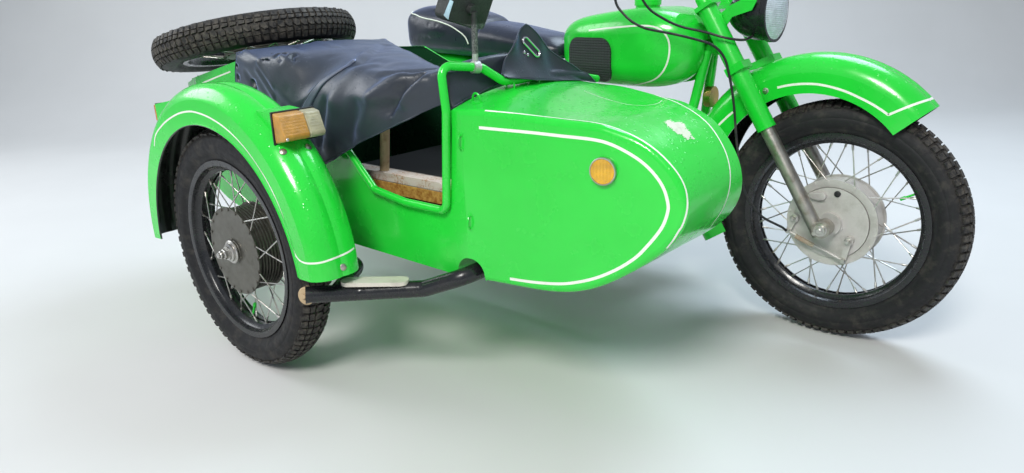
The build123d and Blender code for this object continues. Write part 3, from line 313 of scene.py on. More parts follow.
def make_mirror_look():
    """Black head, a grey speckled arm and a bright clamp round the rail."""
    k = Look("mirror_finish", (0.02, 0.02, 0.02), 0.45)
    height = k.axes()["Z"]
    specks = k.span(k.noise(260, 8, 0.75), 0.44, 0.60)
    head = k.blend(specks, (0.012, 0.014, 0.013), (0.030, 0.036, 0.032))
    arm = k.blend(specks, (0.030, 0.035, 0.035), (0.20, 0.21, 0.20))
    looks = k.blend(k.span(height, 0.924, 0.928, 1, 0), head, arm)
    looks = k.blend(k.span(height, 0.860, 0.862, 1, 0), looks, (0.55, 0.55, 0.53))
    k.feed(Base_Color=looks, Metallic=k.span(height, 0.860, 0.862, 0.9, 0))
    k.relief(specks, 0.0004)
    return k.mat


RUSTY_POST = make_metal("rusty_post", (0.46, 0.34, 0.20), 0.7, 0.1, (0.16, 0.055, 0.015), 1.0, 160, 0.0006)
NODE_LOOK = {
    "sidecar_body": TUB_GREEN, "sidecar_fender": SIDECAR_FENDER_GREEN, "front_fender": FRONT_FENDER_GREEN,
    "rear_fender": REAR_FENDER_GREEN, "fork_sliders": WORN_CHROME, "side_reflector": YELLOW,
    "headlamp_glass": LAMP_GLASS, "seat_pan": make_seat_pan(),
    "seat_post": RUSTY_POST, "knee_pads": make_knee_rubber(), "sidecar_mirror": make_mirror_look(),
}
for row in frame["record"]["subparts"]:
    mesh = nodes[row["node"]].data
    mesh.materials.clear()
    mesh.materials.append(NODE_LOOK.get(row["node"]) or SLOT_LOOK[row["material_slot"]])


# Shape helpers

def mesh_of(bm, name, turn_out=True):
    """The bmesh as a mesh, its faces turned outwards."""
    if turn_out:
        bmesh.ops.recalc_face_normals(bm, faces=bm.faces)
    mesh = bpy.data.meshes.new(name)
    bm.to_mesh(mesh)
    bm.free()
    return mesh


def mesh_piece(name, bm, look, body, stands_for=(), smooth_angle=35, place=None):
    """A finished piece from a bmesh."""
    return shown(name, mesh_of(bm, name), look, body, stands_for, smooth_angle, place)


def shown(name, mesh, look, body, stands_for=(), smooth_angle=35, place=None):
    """A piece with its material, smoothing and body."""
    if not mesh.materials:
        mesh.materials.append(look)
    mesh.shade_smooth()
    mesh.set_sharp_from_angle(angle=radians(smooth_angle))
    obj = bpy.data.objects.new(name, mesh)
    scene.collection.objects.link(obj)
    if place is not None:
        obj.matrix_world = place
    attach(obj, body)
    if stands_for:
        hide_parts(*stands_for)
    return obj


def skin(bm, one, two):
    """Faces between two closed rings of vertices."""
    for j in range(len(one)):
        k = (j + 1) % len(one)
        bm.faces.new((one[j], one[k], two[k], two[j]))


def circle(bm, centre, side, over, radius, sides):
    """Ring of vertices round a centre in the plane of side and over."""
    made = []
    for j in range(sides):
        a = 2 * pi * j / sides
        made.append(bm.verts.new(centre + (side * cos(a) + over * sin(a)) * radius))
    return made


def lathe(bm, profile, steps):
    """Spins a closed outline of (radius, z) points about Z."""
    rings = []
    for i in range(steps):
        a = 2 * pi * i / steps
        rings.append([bm.verts.new((r * cos(a), r * sin(a), z)) for r, z in profile])
    for i in range(steps):
        skin(bm, rings[i], rings[(i + 1) % steps])


def tube_along(bm, points, radius, sides=8, cap=True):
    """Round tube through points; radius is a number or one per point."""
    radii = radius if isinstance(radius, (list, tuple)) else [radius] * len(points)
    points = [Vector(p) for p in points]
    rings = []
    side = None
    for i, p in enumerate(points):
        ahead = points[min(i + 1, len(points) - 1)] - points[max(i - 1, 0)]
        ahead.normalize()
        if side is None:
            side = ahead.orthogonal().normalized()
        side = (side - ahead * side.dot(ahead)).normalized()
        rings.append(circle(bm, p, side, ahead.cross(side), radii[i], sides))
    for one, two in zip(rings, rings[1:]):
        skin(bm, one, two)
    if cap:
        bm.faces.new(reversed(rings[0]))
        bm.faces.new(rings[-1])


def curve_point(a, b, c, d, t):
    """Catmull-Rom curve at t between b and c."""
    return 0.5 * ((2 * b) + (c - a) * t + (2 * a - 5 * b + 4 * c - d) * t * t + (3 * b - a - 3 * c + d) * t ** 3)


def with_ends(row):
    """The points with one more at each end, as the curve needs them."""
    return [2 * row[0] - row[1], *row, 2 * row[-1] - row[-2]]


def smooth_path(points, steps):
    """Curve through the points, with a number of steps between two."""
    pts = with_ends([Vector(p) for p in points])
    return [curve_point(*pts[i:i + 4], s / steps) for i in range(len(pts) - 3) for s in range(steps)] + [pts[-2]]


def disc(bm, centre, normal, radius, height, sides=16, dome=0.0):
    """Short round boss whose foot is at centre; dome raises its middle."""
    n = Vector(normal).normalized()
    side = n.orthogonal().normalized()
    steps = ((radius, 0), (radius, height * 0.8), (radius * 0.85, height), (radius * 0.4, height + dome * 0.8))
    rings = [circle(bm, Vector(centre) + n * h, side, n.cross(side), r, sides) for r, h in steps]
    for one, two in zip(rings, rings[1:]):
        skin(bm, one, two)
    bm.faces.new(rings[-1])
    bm.faces.new(reversed(rings[0]))


# Wheels, drawn about Z as in the part's source

TYRE_R, BEAD_R, SPOKE_HOLE_R, NIPPLE_R, SPOKES_PER_SIDE = 0.342, 0.241, 0.119, 0.2235, 20
WHEEL_STEPS, TREAD_PITCHES, TREAD_DEPTH = 112, 84, 0.0065
PLACES = [
    ("front", at(1500, 0, 342), Matrix.Rotation(pi / 2, 4, "X"), "front_wheel_set"),
    ("rear", at(0, 0, 342), Matrix.Rotation(pi / 2, 4, "X"), "rear_wheel_set"),
    ("sidecar", at(280, -1140, 342), Matrix.Rotation(-pi / 2, 4, "X"), "sidecar_wheel_set"),
    ("spare", at(-270, -696, 868), Matrix.Rotation(radians(-11.3), 4, "Y"), "trunk_lid_set"),
]


def tread_point(theta, s, lift):
    """Point on the tread at arc distance s (metres) from the middle; lift is along the normal."""
    half, crown = 0.043, 0.014
    bow = (half * half + crown * crown) / (2 * crown)
    angle = s / bow
    r, z = TYRE_R - bow + (bow + lift) * cos(angle), (bow + lift) * sin(angle)
    return Vector((r * cos(theta), r * sin(theta), z))


def tread_block(bm, corners):
    """One block from (theta, s) corners: its top on the tread's surface, its walls down to the casing."""
    top = [bm.verts.new(tread_point(t, s, 0.0)) for t, s in corners]
    mid_t = sum(t for t, s in corners) / len(corners)
    mid_s = sum(s for t, s in corners) / len(corners)
    foot = [bm.verts.new(tread_point(t + (t - mid_t) * 0.10, s + (s - mid_s) * 0.10, -TREAD_DEPTH))
            for t, s in corners]
    bm.faces.new(top)
    for i in range(len(corners)):
        j = (i + 1) % len(corners)
        bm.faces.new((top[i], foot[i], foot[j], top[j]))


def make_tyre():
    bm = bmesh.new()
    half = [(BEAD_R, 0.0), (BEAD_R, 0.030), (0.243, 0.0345), (0.256, 0.0348), (0.260, 0.0375), (0.263, 0.0385),
            (0.266, 0.0392), (0.272, 0.0440), (0.280, 0.0478), (0.288, 0.0496), (0.2945, 0.0499), (0.2955, 0.0492),
            (0.297, 0.0492), (0.298, 0.0497), (0.306, 0.0484), (0.312, 0.0470), (0.3135, 0.0462), (0.315, 0.0458)]
    for s in (0.044, 0.036, 0.026, 0.014):
        p = tread_point(0, s, -TREAD_DEPTH)
        half.append((p.x, p.z))
    p = tread_point(0, 0, -TREAD_DEPTH)
    profile = half + [(p.x, p.z)] + [(r, -z) for r, z in reversed(half[1:])]
    lathe(bm, profile, WHEEL_STEPS)
    step = 2 * pi / TREAD_PITCHES
    for i in range(TREAD_PITCHES):
        t = i * step
        w = step * 0.40
        # zigzag block on the middle line
        tread_block(bm, [(t - w, -0.004), (t - w * 0.1, -0.011), (t + w, -0.009), (t + w, 0.004),
                         (t + w * 0.1, 0.011), (t - w, 0.009)])
        for sign in (-1, 1):
            o = t + (step * 0.5 if sign > 0 else 0)
            tread_block(bm, [(o - w, sign * 0.0135), (o + w * 0.8, sign * 0.0155), (o + w, sign * 0.0245),
                             (o - w * 0.8, sign * 0.0265)])
            # shoulder lugs, every second one longer
            far = 0.0485 if i % 2 else 0.0455
            tread_block(bm, [(o - w * 0.85, sign * 0.0295), (o + w * 0.85, sign * 0.0285), (o + w * 0.8, sign * far),
                             (o - w * 0.8, sign * far)])
    return mesh_of(bm, "tyre")


def make_rim():
    bm = bmesh.new()
    outer = [(0.2548, 0.0380), (0.2535, 0.0365), (0.2475, 0.0352), (0.2425, 0.0340), (0.2395, 0.0300),
             (0.2385, 0.0250), (0.2350, 0.0210), (0.2265, 0.0165), (0.2245, 0.0080)]
    inner = [(0.2215, 0.0080), (0.2225, 0.0140), (0.2320, 0.0200), (0.2352, 0.0245), (0.2362, 0.0310),
             (0.2385, 0.0372), (0.2440, 0.0383), (0.2540, 0.0387)]
    profile = outer + [(r, -z) for r, z in reversed(outer)] + [(r, -z) for r, z in inner] + \
        [(r, z) for r, z in reversed(inner)]
    lathe(bm, profile, WHEEL_STEPS)
    return mesh_of(bm, "rim")


def make_hub():
    bm = bmesh.new()
    bore = 0.01005
    barrel = [(0.112, -0.035)]
    for i in range(7):
        z = -0.032 + i * 0.0092
        barrel += [(0.112, z), (0.1185, z + 0.001), (0.1185, z + 0.0035), (0.112, z + 0.0045)]
    barrel += [(0.112, 0.035)]
    profile = [(bore, -0.046), (0.020, -0.046), (0.0215, -0.0445), (0.0215, -0.042), (0.030, -0.041),
               (0.0315, -0.0395), (0.040, -0.0385), (0.060, -0.0398), (0.064, -0.0392), (0.100, -0.0395),
               (0.118, -0.0388), (0.1245, -0.0395), (0.125, -0.0375), (0.1245, -0.0352)] + barrel + \
              [(0.1245, 0.0352), (0.125, 0.0375), (0.1245, 0.0398), (0.106, 0.0400), (0.103, 0.0385),
               (0.103, -0.028), (0.026, -0.028), (0.026, 0.028), (bore, 0.028)]
    lathe(bm, profile, 96)
    # spoke heads round both flanges
    for flange in (-1, 1):
        for k in range(SPOKES_PER_SIDE):
            a = 2 * pi * (k + 0.5 * (flange > 0)) / SPOKES_PER_SIDE
            foot = (SPOKE_HOLE_R * cos(a), SPOKE_HOLE_R * sin(a), flange * 0.0393)
            disc(bm, foot, (0, 0, flange), 0.0044, 0.0026, 10)
    for k in range(3):
        a = 2 * pi * k / 3 + 0.4
        disc(bm, (0.034 * cos(a), 0.034 * sin(a), -0.0385), (0, 0, -1), 0.004, 0.003, 6)
    return mesh_of(bm, "hub")


def make_spokes():
    bm = bmesh.new()
    for flange in (-1, 1):
        for k in range(SPOKES_PER_SIDE):
            a = 2 * pi * (k + 0.5 * (flange > 0)) / SPOKES_PER_SIDE
            lean = radians(20) * (1 if k % 2 else -1)
            z = flange * (0.0375 + 0.0012 * (1 if k % 2 else -1))
            start = Vector((SPOKE_HOLE_R * cos(a), SPOKE_HOLE_R * sin(a), z))
            end = Vector((NIPPLE_R * cos(a + lean), NIPPLE_R * sin(a + lean), flange * 0.009))
            along = end - start
            tube_along(bm, [start, start + along * 0.86], 0.00185, 6)
            tube_along(bm, [start + along * 0.86, start + along * 0.87, end], [0.0026, 0.0032, 0.0032], 6)
    return mesh_of(bm, "spokes")


tyre_mesh, rim_mesh, hub_mesh, spoke_mesh = make_tyre(), make_rim(), make_hub(), make_spokes()
for name, centre, turned, body in PLACES:
    place = Matrix.Translation(centre) @ turned
    shown(f"{name}_treaded_tyre", tyre_mesh, TYRE, body, [f"{name}_tyre"], 40, place)
    shown(f"{name}_rim", rim_mesh, BLACK_PAINT, body, [f"{name}_wheel"], 40, place)
    shown(f"{name}_hub", hub_mesh.copy(), ALLOY if name == "front" else DARK_ALLOY, body, (), 30, place)
    shown(f"{name}_spokes", spoke_mesh, STEEL, body, (), 60, place)


# Trim that is set on the surfaces of the CAD nodes

def surface(*names):
    """Search tree over the surfaces of CAD nodes or pieces."""
    verts, polys = [], []
    for name in names:
        source = nodes[name] if name in nodes else bpy.data.objects[name]
        base = len(verts)
        verts += [source.matrix_world @ v.co for v in source.data.vertices]
        polys += [[base + i for i in p.vertices] for p in source.data.polygons]
    return BVHTree.FromPolygons(verts, polys)


def sight(u, v):
    """Direction from the camera to a pixel of the photograph."""
    across = right * ((u - PHOTO_W / 2) / CAMERA_FOCAL_PX) - up * ((v - PHOTO_H / 2) / CAMERA_FOCAL_PX)
    return (view_dir + across).normalized()


def seen(tree, u, v):
    """Place and outward normal where the photograph's pixel lands on a surface."""
    place, normal, face, distance = tree.ray_cast(CAMERA_AT, sight(u, v))
    if place is not None and normal.dot(sight(u, v)) > 0:
        normal = -normal
    return place, normal


def seen_path(tree, pixels, steps=8):
    """Smooth path over a surface through pixels."""
    found = []
    for p in smooth_path([(u, v, 0) for u, v in pixels], steps):
        place, normal = seen(tree, p.x, p.y)
        if place is not None and (not found or (place - found[-1][0]).length < 0.06):
            found.append((place, normal))
    return found


def other_side(path):
    """The same path on the other side of the motorcycle's middle plane."""
    middle = BIKE_Y * 0.001
    return [(Vector((p.x, 2 * middle - p.y, p.z)), Vector((n.x, -n.y, n.z))) for p, n in path]


def ribbon(bm, tree, path, width, lift=0.0004):
    """Painted line along (place, normal) points, set on a surface."""
    rows = []
    for i, (p, n) in enumerate(path):
        ahead = path[min(i + 1, len(path) - 1)][0] - path[max(i - 1, 0)][0]
        over = n.cross(ahead).normalized()
        row = []
        for s in (-0.5, -0.17, 0.17, 0.5):
            near, facing, face, distance = tree.find_nearest(p + over * (width * s))
            if facing.dot(n) < 0:
                facing = -facing
            row.append(bm.verts.new(near + facing * lift))
        rows.append(row)
    for one, two in zip(rows, rows[1:]):
        for a, b, c, d in zip(one, one[1:], two[1:], two):
            bm.faces.new((a, d, c, b))


def bevelled(bm, verts, offset, segments=3):
    """Rounds every edge of the solid that these vertices belong to."""
    edges = {e for v in verts for e in v.link_edges}
    bmesh.ops.bevel(bm, geom=list(edges), offset=offset, segments=segments, affect="EDGES", profile=0.6)


def prism(bm, outline, low_y, high_y, offset=0.0, segments=3):
    """Solid between two Y places from an XZ outline in the motorcycle's frame, its edges rounded."""
    one = [bm.verts.new(at(x, low_y, z)) for x, z in outline]
    two = [bm.verts.new(at(x, high_y, z)) for x, z in outline]
    bm.faces.new(one)
    bm.faces.new(list(reversed(two)))
    for i in range(len(outline)):
        j = (i + 1) % len(outline)
        bm.faces.new((one[i], two[i], two[j], one[j]))
    if offset:
        bevelled(bm, one + two, offset, segments)


# Painted reflection of the sky: a bright light blue strip on the mirror's head
mirror_skin = surface("sidecar_mirror")
bm = bmesh.new()
ribbon(bm, mirror_skin, seen_path(mirror_skin, [(452.8, 1.0), (449.5, 9), (446.2, 17.5)]), 0.016, 0.0012)
mesh_piece("mirror_pane", bm, make_glass("mirror_blue", (0.42, 0.62, 0.70), 0.12, 0.05), "chassis")

# Painted lines: piece, node, width in metres, whether the other side has them too, and the lines
# as pixels of the photograph
LINES = [
    ("nose_side_line", "sidecar_body", 0.0068, False, [
        [(479, 127.6), (500, 129.6), (530, 132.4), (560, 135.8), (592.5, 139.5), (610, 144), (627.5, 152.5),
         (642.5, 162.5), (655, 175), (663.8, 188.8), (668, 203.8), (667.5, 213), (663.3, 225), (656.7, 235),
         (646.7, 246.7), (636.7, 256.7), (623.3, 265.8), (608.3, 273.3), (593.3, 278.7), (578.3, 282),
         (563.3, 283.7), (546.7, 283.3), (530, 281.7), (510, 278.7)]]),
    ("cowl_lines", "sidecar_body", 0.0042, False, [
        [(485, 110.6), (510, 112.8), (530, 115), (560, 118.5), (590, 122), (610, 126.3), (632.5, 135.3),
         (652.5, 147.5), (667.5, 161), (678.8, 175), (685, 187.5), (687.4, 200), (686.5, 212.5), (682.5, 225),
         (678.3, 231.7), (673.3, 240), (666.7, 248.3)],
        [(640, 90), (658, 96), (677.5, 103), (695, 113), (709, 125), (719.5, 140), (726.5, 155), (730, 172),
         (729, 190), (722.5, 209), (711, 226)]]),
    # A thin pale line over the cowl's crest, drawn in the stripe paint
    ("cowl_crest_line", "sidecar_body", 0.0018, False, [
        [(584, 91), (605, 98.8), (627.5, 104.5), (645, 105.5), (657.5, 103.5), (662, 100.5)]]),
    ("trunk_line", "sidecar_body", 0.005, False, [
        [(202, 83.3), (216, 77.4), (230.5, 71.6)]]),
    ("sidecar_fender_line", "sidecar_fender", 0.0048, False, [
        [(154.5, 146), (155.2, 137), (158.5, 130), (166.8, 120.8), (178, 113.8), (188, 111.5), (196, 112.4),
         (208.3, 117), (223.3, 126.5), (236.7, 139), (250, 155), (263.3, 175), (273.3, 193.3), (281.7, 213.3),
         (288.3, 233.3), (293, 248), (296.5, 256.5), (302, 261.8), (310, 263.5), (322, 262.3), (336.7, 257.3),
         (348.3, 252), (354, 248)]]),
    ("front_fender_lines", "front_fender", 0.0062, True, [
        [(777.4, 87.6), (790, 85), (804, 83.8), (818, 84.4), (832, 87.2), (846, 91.6), (858, 97), (870, 103),
         (880, 109), (888.5, 115)],
        [(888, 115), (898, 110.8), (910, 106), (922, 101.8), (933, 98.4)],
        [(718.8, 125), (726, 118), (733, 112)]]),
    ("tank_lines", "fuel_tank", 0.0052, True, [
        [(588.8, 30.5), (604, 28.6), (620, 27), (636, 25.8), (650, 26.1), (660, 29.4), (667, 37), (669.5, 47.5),
         (667.7, 61), (662.5, 72), (654, 79.6), (640, 84), (627, 85.6), (615, 85.9)]]),
]
for name, on, width, both_sides, lines in LINES:
    tree = surface(on)
    paths = [seen_path(tree, line) for line in lines]
    if both_sides:
        paths += [other_side(path) for path in paths]
    bm = bmesh.new()
    for path in paths:
        ribbon(bm, tree, path, width)
    body = "steering" if on == "front_fender" else "chassis"
    shown(name, mesh_of(bm, name, False), STRIPE, body, (), 60)

body_skin, wheel_fender_skin, front_fender_skin = (
    surface(on) for on in ("sidecar_body", "sidecar_fender", "front_fender"))


def on_pixels(name, tree, pixels, body, look, make):
    """One piece made of a detail at each pixel; make(bm, place, normal) draws it."""
    bm = bmesh.new()
    for u, v in pixels:
        place, normal = seen(tree, u, v)
        if place is not None:
            make(bm, place, normal)
    return mesh_piece(name, bm, look, body)


def bolt_head(bm, place, normal, radius=0.006):
    disc(bm, place - normal * 0.001, normal, radius * 1.5, 0.0022, 20)
    disc(bm, place, normal, radius, 0.0062, 6, 0.0006)


on_pixels("sidecar_fender_bolts", wheel_fender_skin, [(343, 267), (308, 147), (283, 152)], "chassis", STEEL,
          lambda bm, p, n: disc(bm, p - n * 0.001, n, 0.0085, 0.004, 20, 0.0015))
on_pixels("front_fender_bolts", front_fender_skin, [(765.5, 91)], "steering", STEEL, bolt_head)


def staple(bm, place, normal):
    """Small wire loop for the cover's cord, upright on the side panel."""
    points = []
    for i in range(9):
        a = pi * i / 8
        points.append(place + Vector((0, 0, 0.016 * cos(a))) + normal * (0.011 * sin(a) + 0.0005))
    tube_along(bm, points, 0.0022, 8)
    for z in (-0.017, 0.017):
        disc(bm, place + Vector((0, 0, z)) - normal * 0.0005, normal, 0.0055, 0.0016, 12)


on_pixels("side_staples", body_skin, [(461.5, 142), (470.5, 222)], "chassis", GREEN, staple)


def cowl_loop(bm, place, normal):
    """Turn-button eye on the cowl for the cover's hem."""
    along = normal.cross(Vector((0, 1, 0))).normalized()
    points = []
    for i in range(13):
        a = pi * i / 12
        points.append(place + along * (0.013 * cos(a)) + normal * (0.020 * sin(a)))
    tube_along(bm, points, 0.0024, 8)
    disc(bm, place - normal * 0.001, normal, 0.016, 0.002, 16)


on_pixels("cowl_loops", body_skin, [(477, 101.5), (510.5, 87.5), (535, 81.5)], "chassis", GREEN,
          cowl_loop)

# Worn patch on the front of the cowl, where the top coat is gone
patch_outline = [(664, 121), (669, 119.8), (675, 122.5), (679, 121.5), (684, 124), (686, 128.5), (690, 132),
                 (691, 135.5), (694.5, 138.5), (693, 140), (689.5, 136.5), (688.5, 140.5), (685.5, 138), (681, 134.5),
                 (676, 133.5), (671, 128), (667.5, 125.5)]


def inside_outline(u, v, outline):
    """Whether a pixel lies inside a closed outline."""
    hit = False
    for (u0, v0), (u1, v1) in zip(outline, outline[1:] + outline[:1]):
        if (v0 > v) != (v1 > v) and u < u0 + (u1 - u0) * (v - v0) / (v1 - v0):
            hit = not hit
    return hit


PATCH_LEFT, PATCH_TOP, PATCH_W, PATCH_H, STEP = 662, 118, 34, 24, 0.45
patch = bmesh.new()
found = {}
for i in range(int(PATCH_W / STEP)):
    for j in range(int(PATCH_H / STEP)):
        u, v = PATCH_LEFT + i * STEP, PATCH_TOP + j * STEP
        ragged = noise.noise(Vector((u * 0.9, v * 0.9, 3))) * 1.6
        if not inside_outline(u + ragged, v - ragged, patch_outline):
            continue
        corners = []
        for du, dv in ((0, 0), (1, 0), (1, 1), (0, 1)):
            key = (i + du, j + dv)
            if key not in found:
                place, normal = seen(body_skin, PATCH_LEFT + key[0] * STEP, PATCH_TOP + key[1] * STEP)
                found[key] = patch.verts.new(place + normal * 0.0005)
            corners.append(found[key])
        patch.faces.new(corners)
BARE_COAT = make_rubber("bare_coat", (0.60, 0.66, 0.50), 0.6, 200, 0.5)
mesh_piece("worn_patch", patch, BARE_COAT, "chassis")

# Marker lamps: lenses in two colours with a seal, and screws
FRONT_LENS = [(587, 745), (612, 740), (631, 691), (627, 681), (587, 673)]
bm = bmesh.new()
prism(bm, FRONT_LENS, -1120.5, -1191, 0.0045)
mesh_piece("front_marker_amber_lens", bm, AMBER, "chassis", ["marker_lenses"])
bm = bmesh.new()
prism(bm, FRONT_LENS, -1076, -1119.5, 0.0045)
mesh_piece("front_marker_clear_lens", bm, CREAM_LENS, "chassis", ["marker_lenses"])
bm = bmesh.new()
prism(bm, [(-87, 722), (-103, 718), (-103, 672), (-87, 668)], -1088, -1162, 0.003)
mesh_piece("rear_marker_lens", bm, ORANGE, "chassis", ["marker_lenses"])
bm = bmesh.new()
prism(bm, [(583.5, 748), (587.5, 747), (587.5, 670), (583.5, 670)], -1073, -1194, 0.001, 1)
prism(bm, [(-84.5, 724.5), (-88, 724), (-88, 666), (-84.5, 666)], -1086, -1164, 0.001, 1)
mesh_piece("marker_seals", bm, RUBBER, "chassis")
bm = bmesh.new()
disc(bm, at(629, -1184, 686), (1, -0.2, 0), 0.0038, 0.003, 16, 0.0008)
for y in (-1098, -1152):
    disc(bm, at(-103, y, 695), (-1, 0, 0), 0.0038, 0.0025, 16, 0.0008)
mesh_piece("marker_screws", bm, STEEL, "chassis")

# Round reflector's rim
bm = bmesh.new()
lathe(bm, [(0.0262, 0.0080), (0.0268, 0.0096), (0.0284, 0.0098), (0.0294, 0.0085), (0.0294, 0.0002),
           (0.0276, 0.0002)], 64)
facing = Vector((100, -510, 0)).normalized()
place = Matrix.Translation(at(1302, -879, 634)) @ facing.to_track_quat("Z", "Y").to_matrix().to_4x4()
mesh_piece("reflector_rim", bm, STEEL, "chassis", (), 35, place)

# Front brake: plug, torque lug, spindle nuts, return spring and the cable's end
bm = bmesh.new()
disc(bm, at(1511, -41.5, 428), (0, -1, 0), 0.0088, 0.004, 24, 0.0008)
mesh_piece("brake_plate_plug", bm, RUBBER, "steering")
bm = bmesh.new()
for x, z in ((1556, 302), (1401, 343)):
    disc(bm, at(x, -56.5, z), (0, -1, 0), 0.0105, 0.003, 24)
    disc(bm, at(x, -59.2, z), (0, -1, 0), 0.0085, 0.008, 6)
    disc(bm, at(x, -66, z), (0, -1, 0), 0.0045, 0.005, 12)
for x, z in ((1548, 244), (1388, 304)):
    disc(bm, at(x, -55, z), (0, -1, 0), 0.0075, 0.010, 16)
disc(bm, at(1500, -122, 342), (0, -1, 0), 0.0175, 0.003, 28)
disc(bm, at(1500, -124.5, 342), (0, -1, 0), 0.0125, 0.011, 6)
disc(bm, at(1500, -135, 342), (0, -1, 0), 0.0075, 0.004, 16)
tube_along(bm, [at(1484, -108, 330), at(1484, -128, 330)], 0.0055, 10)
mesh_piece("brake_nuts", bm, STEEL, "steering")
bm = bmesh.new()
prism(bm, [(1436, 424), (1476, 430), (1484, 420), (1480, 408), (1462, 404), (1438, 408)], -41, -54, 0.003)
prism(bm, [(1470, 360), (1530, 360), (1536, 330), (1520, 312), (1480, 312), (1464, 330)], -33.5, -47, 0.004)
mesh_piece("torque_lug", bm, ALLOY, "steering")
bm = bmesh.new()
SPRING_TURNS, TURN_STEPS, SPRING_R = 20, 12, 0.0062
coil = []
a0, b0 = at(1392, -62, 300), at(1500, -62, 262)
along = (b0 - a0).normalized()
side_of = along.cross(Vector((0, 1, 0))).normalized()
for i in range(SPRING_TURNS * TURN_STEPS + 1):
    t = i / (SPRING_TURNS * TURN_STEPS)
    a = 2 * pi * i / TURN_STEPS
    reach = a0 + (b0 - a0) * (0.18 + 0.5 * t)
    coil.append(reach + (side_of * cos(a) + Vector((0, 1, 0)) * sin(a)) * SPRING_R)
tube_along(bm, coil, 0.0011, 5)
mesh_piece("brake_spring", bm, RUST, "steering")

# Valve cap and stem on each wheel
bm = bmesh.new()
tube_along(bm, [(0.222, 0, 0.004), (0.200, 0, 0.010), (0.196, 0, 0.011)], [0.0032, 0.0032, 0.0030], 10)
tube_along(bm, [(0.199, 0, 0.0105), (0.197, 0, 0.011), (0.186, 0, 0.0135), (0.184, 0, 0.014)],
           [0.0040, 0.0050, 0.0050, 0.0034], 10)
valve_mesh = mesh_of(bm, "valve")
for (name, centre, turned, body), angle in zip(PLACES, (28, 60, 100, 200)):
    place = Matrix.Translation(centre) @ turned @ Matrix.Rotation(radians(angle), 4, "Z")
    shown(f"{name}_valve", valve_mesh.copy(), GREEN, body, (), 50, place)

# Axle ends of the sidecar wheel and its cap, and the cap on the step tube
bm = bmesh.new()
lathe(bm, [(0.0101, 0.0455), (0.0330, 0.0455), (0.0330, 0.0485), (0.0300, 0.0510), (0.0262, 0.0510),
           (0.0250, 0.0560), (0.0205, 0.0580), (0.0195, 0.0620), (0.0101, 0.0620)], 48)
disc(bm, (0, 0, 0.0620), (0, 0, 1), 0.0150, 0.012, 6)
disc(bm, (0, 0, 0.0735), (0, 0, 1), 0.0110, 0.010, 24, 0.001)
disc(bm, (0, 0, 0.0830), (0, 0, 1), 0.0075, 0.006, 16, 0.001)
axle_place = Matrix.Translation(at(280, -1140, 342)) @ Matrix.Rotation(pi / 2, 4, "X")
mesh_piece("sidecar_axle_nut", bm, STEEL, "chassis", (), 35, axle_place)
bm = bmesh.new()
outwards = Vector((0.34, -0.92, 0.12)).normalized()
tube_start = at(653, -1203, 308)
disc(bm, tube_start - outwards * 0.010, outwards, 0.0225, 0.016, 40, 0.001)
disc(bm, tube_start + outwards * 0.0055, outwards, 0.0185, 0.0025, 32)
disc(bm, tube_start + outwards * 0.0075, outwards, 0.0070, 0.006, 6)
mesh_piece("step_tube_cap", bm, RUSTY_POST, "chassis")

# Rolled lower edge of the sidecar fender's outer side, a little deeper over the wheel's top
bm = bmesh.new()
ring = []
for i in range(81):
    a = radians(2.5 + 181 * i / 80)
    deep = 375 - 20 * max(0.0, sin(a)) ** 0.7
    ring.append([at(276 + r * cos(a), y, 342 + r * sin(a))
                 for r, y in ((379, -1215.4), (deep, -1215.4), (deep, -1212.6), (379, -1212.6))])
rings = [[bm.verts.new(p) for p in one] for one in ring]
for one, two in zip(rings, rings[1:]):
    skin(bm, one, two)
bm.faces.new(rings[0])
bm.faces.new(rings[-1])
tube_along(bm, [one[1] + Vector((0, 0.0012, 0)) for one in ring], 0.0028, 8)
mesh_piece("sidecar_fender_edge", bm, SIDECAR_FENDER_GREEN, "chassis")


# Cloth and padding

def even_steps(row, count):
    """(control number, share to the next) at even steps along a row of control points."""
    for i in range(count):
        f = (len(row) - 1) * i / (count - 1)
        k = min(int(f), len(row) - 2)
        yield k, f - k


def resampled(row, count):
    """Points at even steps along a smooth curve."""
    pts = with_ends(row)
    return [curve_point(*pts[k:k + 4], t) for k, t in even_steps(row, count)]


def net_points(rows, across_count, along_count):
    """Smooth grid over a net of control points, in metres of the row's frame."""
    rows = [resampled([at(*p) for p in row], across_count) for row in rows]
    columns = [resampled(list(column), along_count) for column in zip(*rows)]
    return [list(row) for row in zip(*columns)]


def bend(p, start, end, width, depth, toward):
    """Moves a point along toward by a fold that follows a segment and fades at its ends."""
    a = at(*start)
    line = at(*end) - a
    t = (p - a).dot(line) / line.length_squared
    off = (p - (a + line * min(max(t, 0), 1))).length
    fade = max(0.0, 1 - (off / width) ** 2)
    return p + Vector(toward) * (depth * fade * fade)


def clear_of(p, trees):
    """A point moved out of solids that it would enter."""
    for tree in trees:
        near, facing, face, distance = tree.find_nearest(p, 0.03)
        if near is not None and (p - near).dot(facing) < SOLID_GAP:
            p = near + facing * SOLID_GAP
    return p


def sheet_piece(name, grid, look, stands_for, thickness):
    """Thin cloth from a grid of points, thickened by a modifier."""
    bm = bmesh.new()
    rows = [[bm.verts.new(p) for p in row] for row in grid]
    for one, two in zip(rows, rows[1:]):
        for a, b, c, d in zip(one, one[1:], two[1:], two):
            bm.faces.new((a, b, c, d))
    obj = shown(name, mesh_of(bm, name, False), look, "chassis", stands_for, 180)
    thick = obj.modifiers.new("thick", "SOLIDIFY")
    thick.thickness = thickness
    thick.offset = 0
    return obj


CLOTH_THICKNESS = 0.0014
